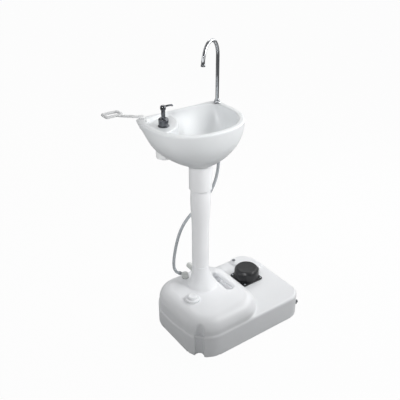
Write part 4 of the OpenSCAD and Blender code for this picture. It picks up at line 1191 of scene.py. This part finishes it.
@dataclass
class SoapPump:
    """The plated soap pump on the shelf and its bottle below, in millimetres."""

    axis: Point2 = (-104.0, 58.0)
    shelf: float = 785.0
    collar_height: float = 27.0
    head_top: float = 855.0
    nozzle: float = 35.0
    spring_foot: float = 771.0
    spring_top: float = 806.0
    spring_radius: float = 4.6
    spring_wire: float = 0.6

    def collar(self) -> Obj:
        """Make the tapered collar with its foot ring and shank."""
        z, top, foot = self.shelf, self.shelf + self.collar_height, self.spring_foot
        return as_object("soap_collar_moulding", turned([
            (6.9, foot, 0), (6.9, top, 0.5), (12, top, 0), (16, top - 1.2, 3),
            (16.9, top - 5, 2.5), (15.4, z + 5, 3), (15.6, z + 3.4, 0.8), (18.6, z + 2.4, 1.0),
            (18.9, z + 0.05, 0.4), (12, z, 0), (12, z - 24, 0.4), (9, z - 24, 0.3),
            (9, foot - 3, 0), (3, foot - 3, 0), (3, foot, 0)], at(*self.axis), tube=True))

    def head(self) -> Obj:
        """Make the press head: the stem, a rounded cap and the slim nozzle."""
        x, y = self.axis
        top = self.head_top
        knob = as_object("soap_head_moulding", turned([
            (0, 810, 0), (6.5, 810, 0.4), (6.5, top - 17, 0.6), (8.2, top - 15.4, 0.8),
            (9.2, top - 12, 2), (9.4, top - 4.5, 3), (6.5, top - 0.6, 3), (0, top, 0)],
            at(x, y), 64, steps=6))
        points = [(x + 2 + (self.nozzle - 2) * k / 12, y,
                   top - 6 + 1.2 * math.sin(math.pi * k / 12) - (2.4 if k == 12 else 0))
                  for k in range(13)]
        return merge_into(knob, grow("soap_nozzle_pipe", tube_tree(), "chromed_plastic",
                                     (3.2, 24), points, run=True))

    def bottle(self) -> Obj:
        """Make the blown bottle with its round shoulder and neck."""
        return as_object("soap_bottle_blown", turned([
            (0, 675, 0), (22, 675, 2), (28, 678, 5), (28, 752, 0), (27, 759, 8),
            (14.6, 763.5, 2), (14.3, 771, 0.4), (12.3, 771, 0.3), (12.3, 762, 2), (25.6, 756, 6),
            (26, 681, 4), (22, 677, 2), (0, 677, 0)], at(*self.axis)))

    def build(self) -> None:
        """Make and dress the soap pump's pieces."""
        x, y = self.axis
        place_piece(self.collar(), "chromed_plastic", Body.STAND, "soap_collar")
        place_piece(self.head(), "chromed_plastic", Body.SOAP_PLUNGER, "soap_pump_head")
        place_piece(self.bottle(), "white_plastic", Body.STAND, "soap_bottle")
        spring = spring_on("soap_spring_coil", "soap_spring", (x, y, self.spring_foot),
                           self.spring_top, self.spring_radius, self.spring_wire, turns=7)
        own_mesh(spring)


@dataclass
class TowelLoop:
    """The flat towel loop that swings on its peg, in millimetres."""

    peg: Point2 = (-145.0, 126.0)
    yaw_deg: float = 137.0
    neck: float = 74.0
    neck_width: float = 10.0
    loop_length: float = 64.0
    loop_width: float = 42.0
    bar: float = 8.0
    loop_shift: Point2 = (14.0, -23.0)
    foot: float = 800.4
    thick: float = 8.0

    def build(self) -> None:
        """Make and dress the towel loop."""
        yaw = math.radians(self.yaw_deg)
        z0, z1 = self.foot, self.foot + self.thick
        place = at(*self.peg, 0, Matrix.Rotation(yaw, 4, "Z"))
        loop_place = place @ at(self.neck, 0, 0, Matrix.Rotation(math.pi - yaw, 4, "Z")) \
            @ at(*self.loop_shift)
        length, width, bar = self.loop_length / 2, self.loop_width / 2, self.bar
        body = as_object("towel_loop_moulding", shift(
            slab(-length, length, -width, width, z0, z1, 7, 2.4), loop_place))
        carve(body, shift(slab(-length + bar, length - bar, -width + bar, width - bar,
                               z0 - 3, z1 + 3, 3, 0.3), loop_place))
        half = self.neck_width / 2
        carve(body, shift(slab(-6, self.neck + 4, -half, half, z0, z1, 4.5, 2.4), place),
              Carve.JOIN)
        carve(body, turned([(0, z0, 0), (10, z0, 1), (10, z1, 2.2), (0, z1, 0)], place, 64),
              Carve.JOIN)
        soften(body, 1.0, 6)
        pin = as_object("peg", turned([
            (0, 764, 0), (4, 764, 0.6), (4, z0 + 2, 0), (0, z0 + 2, 0)], place, 32))
        place_piece(merge_into(body, pin), "white_plastic", Body.TOWEL, "towel_holder")


@dataclass
class SupplyHose:
    """The clear hose from the faucet's tail to the elbow on the tank, in millimetres."""

    diameter: float = 11.0
    faucet_tail: Point3 = (145.0, 105.0, 738.0)
    elbow: Point3 = (-27.0, 62.0, 164.0)
    nozzle_length: float = 26.0
    nozzle_tilt_deg: float = 35.0
    steps: int = 4

    def route(self) -> list[Point3]:
        """The route's points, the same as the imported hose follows."""
        tilt = math.radians(self.nozzle_tilt_deg)
        run = (-math.cos(tilt), 0.0, math.sin(tilt))
        tip = tuple(self.elbow[i] + self.nozzle_length * run[i] for i in range(3))
        near = tuple(tip[i] + 7 * run[i] for i in range(3))
        x, y, z = self.faucet_tail
        return [(x, y, z), (x, y, 715), (147, 102, 660), (149, 96, 600), (139, 88, 545),
                (115, 78, 500), (78, 72, 460), (35, 70, 432), (-5, 67, 408), (-34, 64, 380),
                (-54, 62, 345), (-68, 61, 300), (-76, 61, 258), (-77, 62, 229),
                (-74, 62, 210), (-66, 62, 193), near, tip]

    def centreline(self) -> list[Point3]:
        """Points on the smooth curve through the route."""
        route = [Vector(p) for p in self.route()]
        last = len(route) - 1
        points = []
        for i in range(last):
            a, b = route[max(i - 1, 0)], route[i]
            c, d = route[i + 1], route[min(i + 2, last)]
            for t in (s / self.steps for s in range(self.steps)):
                points.append(tuple(
                    b + (c - a) * t / 2 + (a - 2.5 * b + 2 * c - d / 2) * t * t
                    + (1.5 * b - a / 2 - 1.5 * c + d / 2) * t ** 3))
        points.append(tuple(route[last]))
        return points

    def build(self) -> None:
        points = self.centreline()
        hose = grow("supply_hose_tube", tube_tree(), "clear_hose", (self.diameter / 2, 20),
                    points, run=True)
        place_piece(hose, "clear_hose", Body.STAND, "supply_hose")


def carry_over() -> None:
    """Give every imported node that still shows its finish, by the record's slots."""
    paler = {"waste_elbow": "natural_plastic"}
    for entry in frame["record"]["subparts"]:
        materials = frame["nodes"][entry["node"]].data.materials
        materials.clear()
        materials.append(MATERIALS[paler.get(entry["node"], entry["material_slot"])])


# ---------------------------------------------------------------- stage

@dataclass
class Stage:
    """Camera, lights, floor and world, in metres."""

    place: Point3 = (-0.9961, -1.3985, 1.4592)
    yaw_deg: float = 35.4
    pitch_deg: float = 29.0
    lens_mm: float = 51.1
    sensor_mm: float = 36.0
    horizon: float = 0.85
    zenith: float = 0.25
    left_wall: float = 0.38
    floor_glow: float = 1.01
    floor_glow_share: float = 0.96

    def camera(self) -> None:
        """Set up the camera at the photograph's angle."""
        data = bpy.data.cameras.new("camera")
        data.lens = self.lens_mm
        data.sensor_width = self.sensor_mm
        obj = new_object("camera", data)
        obj.location = self.place
        obj.rotation_euler = (math.radians(90 - self.pitch_deg), 0,
                              math.radians(-self.yaw_deg))
        bpy.context.scene.camera = obj

    @staticmethod
    def lamp(name: str, place: Point3, aim_height: float, watts: float, size: float = 0.12,
             cone_deg: float = 0.0) -> None:
        """Add a lamp that points at a height on the column's axis.

        Args:
            name: the lamp's name.
            place: where it is.
            aim_height: the height that it points at.
            watts: its power.
            size: its width, or a spot's radius.
            cone_deg: a spot's cone, or 0 for a square soft lamp.
        """
        data = bpy.data.lights.new(name, "SPOT" if cone_deg else "AREA")
        data.energy = watts
        if cone_deg:
            data.spot_size = math.radians(cone_deg)
            data.spot_blend = 0.6
            data.shadow_soft_size = size
        else:
            data.size = size
        obj = new_object(name, data)
        obj.location = place
        aim = Vector((0.0, 0.0, aim_height)) - Vector(place)
        obj.rotation_euler = aim.to_track_quat("-Z", "Y").to_euler()

    def floor(self) -> None:
        """Add the pale floor, which shows near white to the camera and keeps the shadow."""
        bm = bmesh.new()
        bmesh.ops.create_grid(bm, x_segments=1, y_segments=1, size=14.0)
        obj = as_object("floor", bm)
        obj.location.z = -0.0004
        material, tree = blank_material("painted_white_floor")
        mottle = wire(tree, "ShaderNodeTexNoise", "Fac", {
            "Vector": wire(tree, "ShaderNodeTexCoord", "Object"), "Scale": 3.0})
        paint = wire(tree, "ShaderNodeBsdfDiffuse", "BSDF", {
            "Color": two_shades(tree, mottle, "#b2b3b4", "#b5b6b6")})
        glow = wire(tree, "ShaderNodeEmission", "Emission", {
            "Color": (1.0, 1.0, 1.0, 1.0), "Strength": self.floor_glow})
        ray = wire(tree, "ShaderNodeLightPath", "Is Camera Ray")
        mix = wire(tree, "ShaderNodeMixShader", "Shader", {
            0: maths(tree, "MULTIPLY", ray, self.floor_glow_share), 1: paint, 2: glow})
        add_node(tree, "ShaderNodeOutputMaterial", {"Surface": mix})
        obj.data.materials.append(material)

    def world(self) -> None:
        """Set a plain world: white to the eye, and as light a soft band round the horizon."""
        world = bpy.data.worlds.new("studio")
        world.use_nodes = True
        tree = world.node_tree
        tree.nodes.clear()
        ray = add_node(tree, "ShaderNodeLightPath").outputs
        seen = maths(tree, "MAXIMUM", ray["Is Camera Ray"], ray["Is Transmission Ray"])
        way = wire(tree, "ShaderNodeTexCoord", "Generated")

        def band(axis: Point3, start: float, end: float, first: float, last: float) -> Socket:
            """A level that changes softly with how far a direction leans to an axis."""
            lean = wire(tree, "ShaderNodeVectorMath", "Value", {0: way, 1: axis},
                        operation="DOT_PRODUCT")
            return wire(tree, "ShaderNodeMapRange", "Result", {
                "Value": lean, "From Min": start, "From Max": end, "To Min": first,
                "To Max": last}, interpolation_type="SMOOTHSTEP")
        light = band(UP, 0.15, 0.5, self.horizon, 0.0)
        for share in (band(UP, 0.6, 0.9, 0.0, self.zenith),
                      band((-0.815, 0.579, 0.0), 0.2, 0.9, 0.0, self.left_wall)):
            light = maths(tree, "ADD", light, share)
        level = wire(tree, "ShaderNodeMix", 0, {0: seen, 2: light, 3: 1.0},
                     data_type="FLOAT")
        back = wire(tree, "ShaderNodeBackground", "Background", {
            "Color": (1.0, 1.0, 1.0, 1.0), "Strength": level})
        add_node(tree, "ShaderNodeOutputWorld", {"Surface": back})
        bpy.context.scene.world = world

    def build(self) -> None:
        """Set the whole stage up."""
        self.camera()
        self.floor()
        self.world()
        self.lamp("key", (1.1, -0.9, 1.5), 0.6, 14.2, size=0.8)
        self.lamp("side", (1.7, 0.1, 1.3), 0.5, 12.5, size=1.0)
        self.lamp("back", (1.2, 1.5, 2.2), 0.4, 8.5, size=1.2)
        self.lamp("column_right", (0.9, -1.4, 1.7), 0.44, 46.0, cone_deg=17.0)
        self.lamp("column_left", (-1.3, -1.0, 1.7), 0.52, 60.0, cone_deg=24.0)
        bpy.context.scene.view_settings.view_transform = "Standard"


def main() -> None:
    """Build the stage and every sub-assembly, and report each piece."""
    logging.basicConfig(level=logging.INFO, format="%(name)s: %(message)s")
    Stage().build()
    carry_over()
    for part in (SupplyHose(), WaterTank(), FootPump(), Column(), Basin(), Faucet(),
                 SoapPump(), TowelLoop()):
        part.build()


if __name__ == "__main__":
    main()
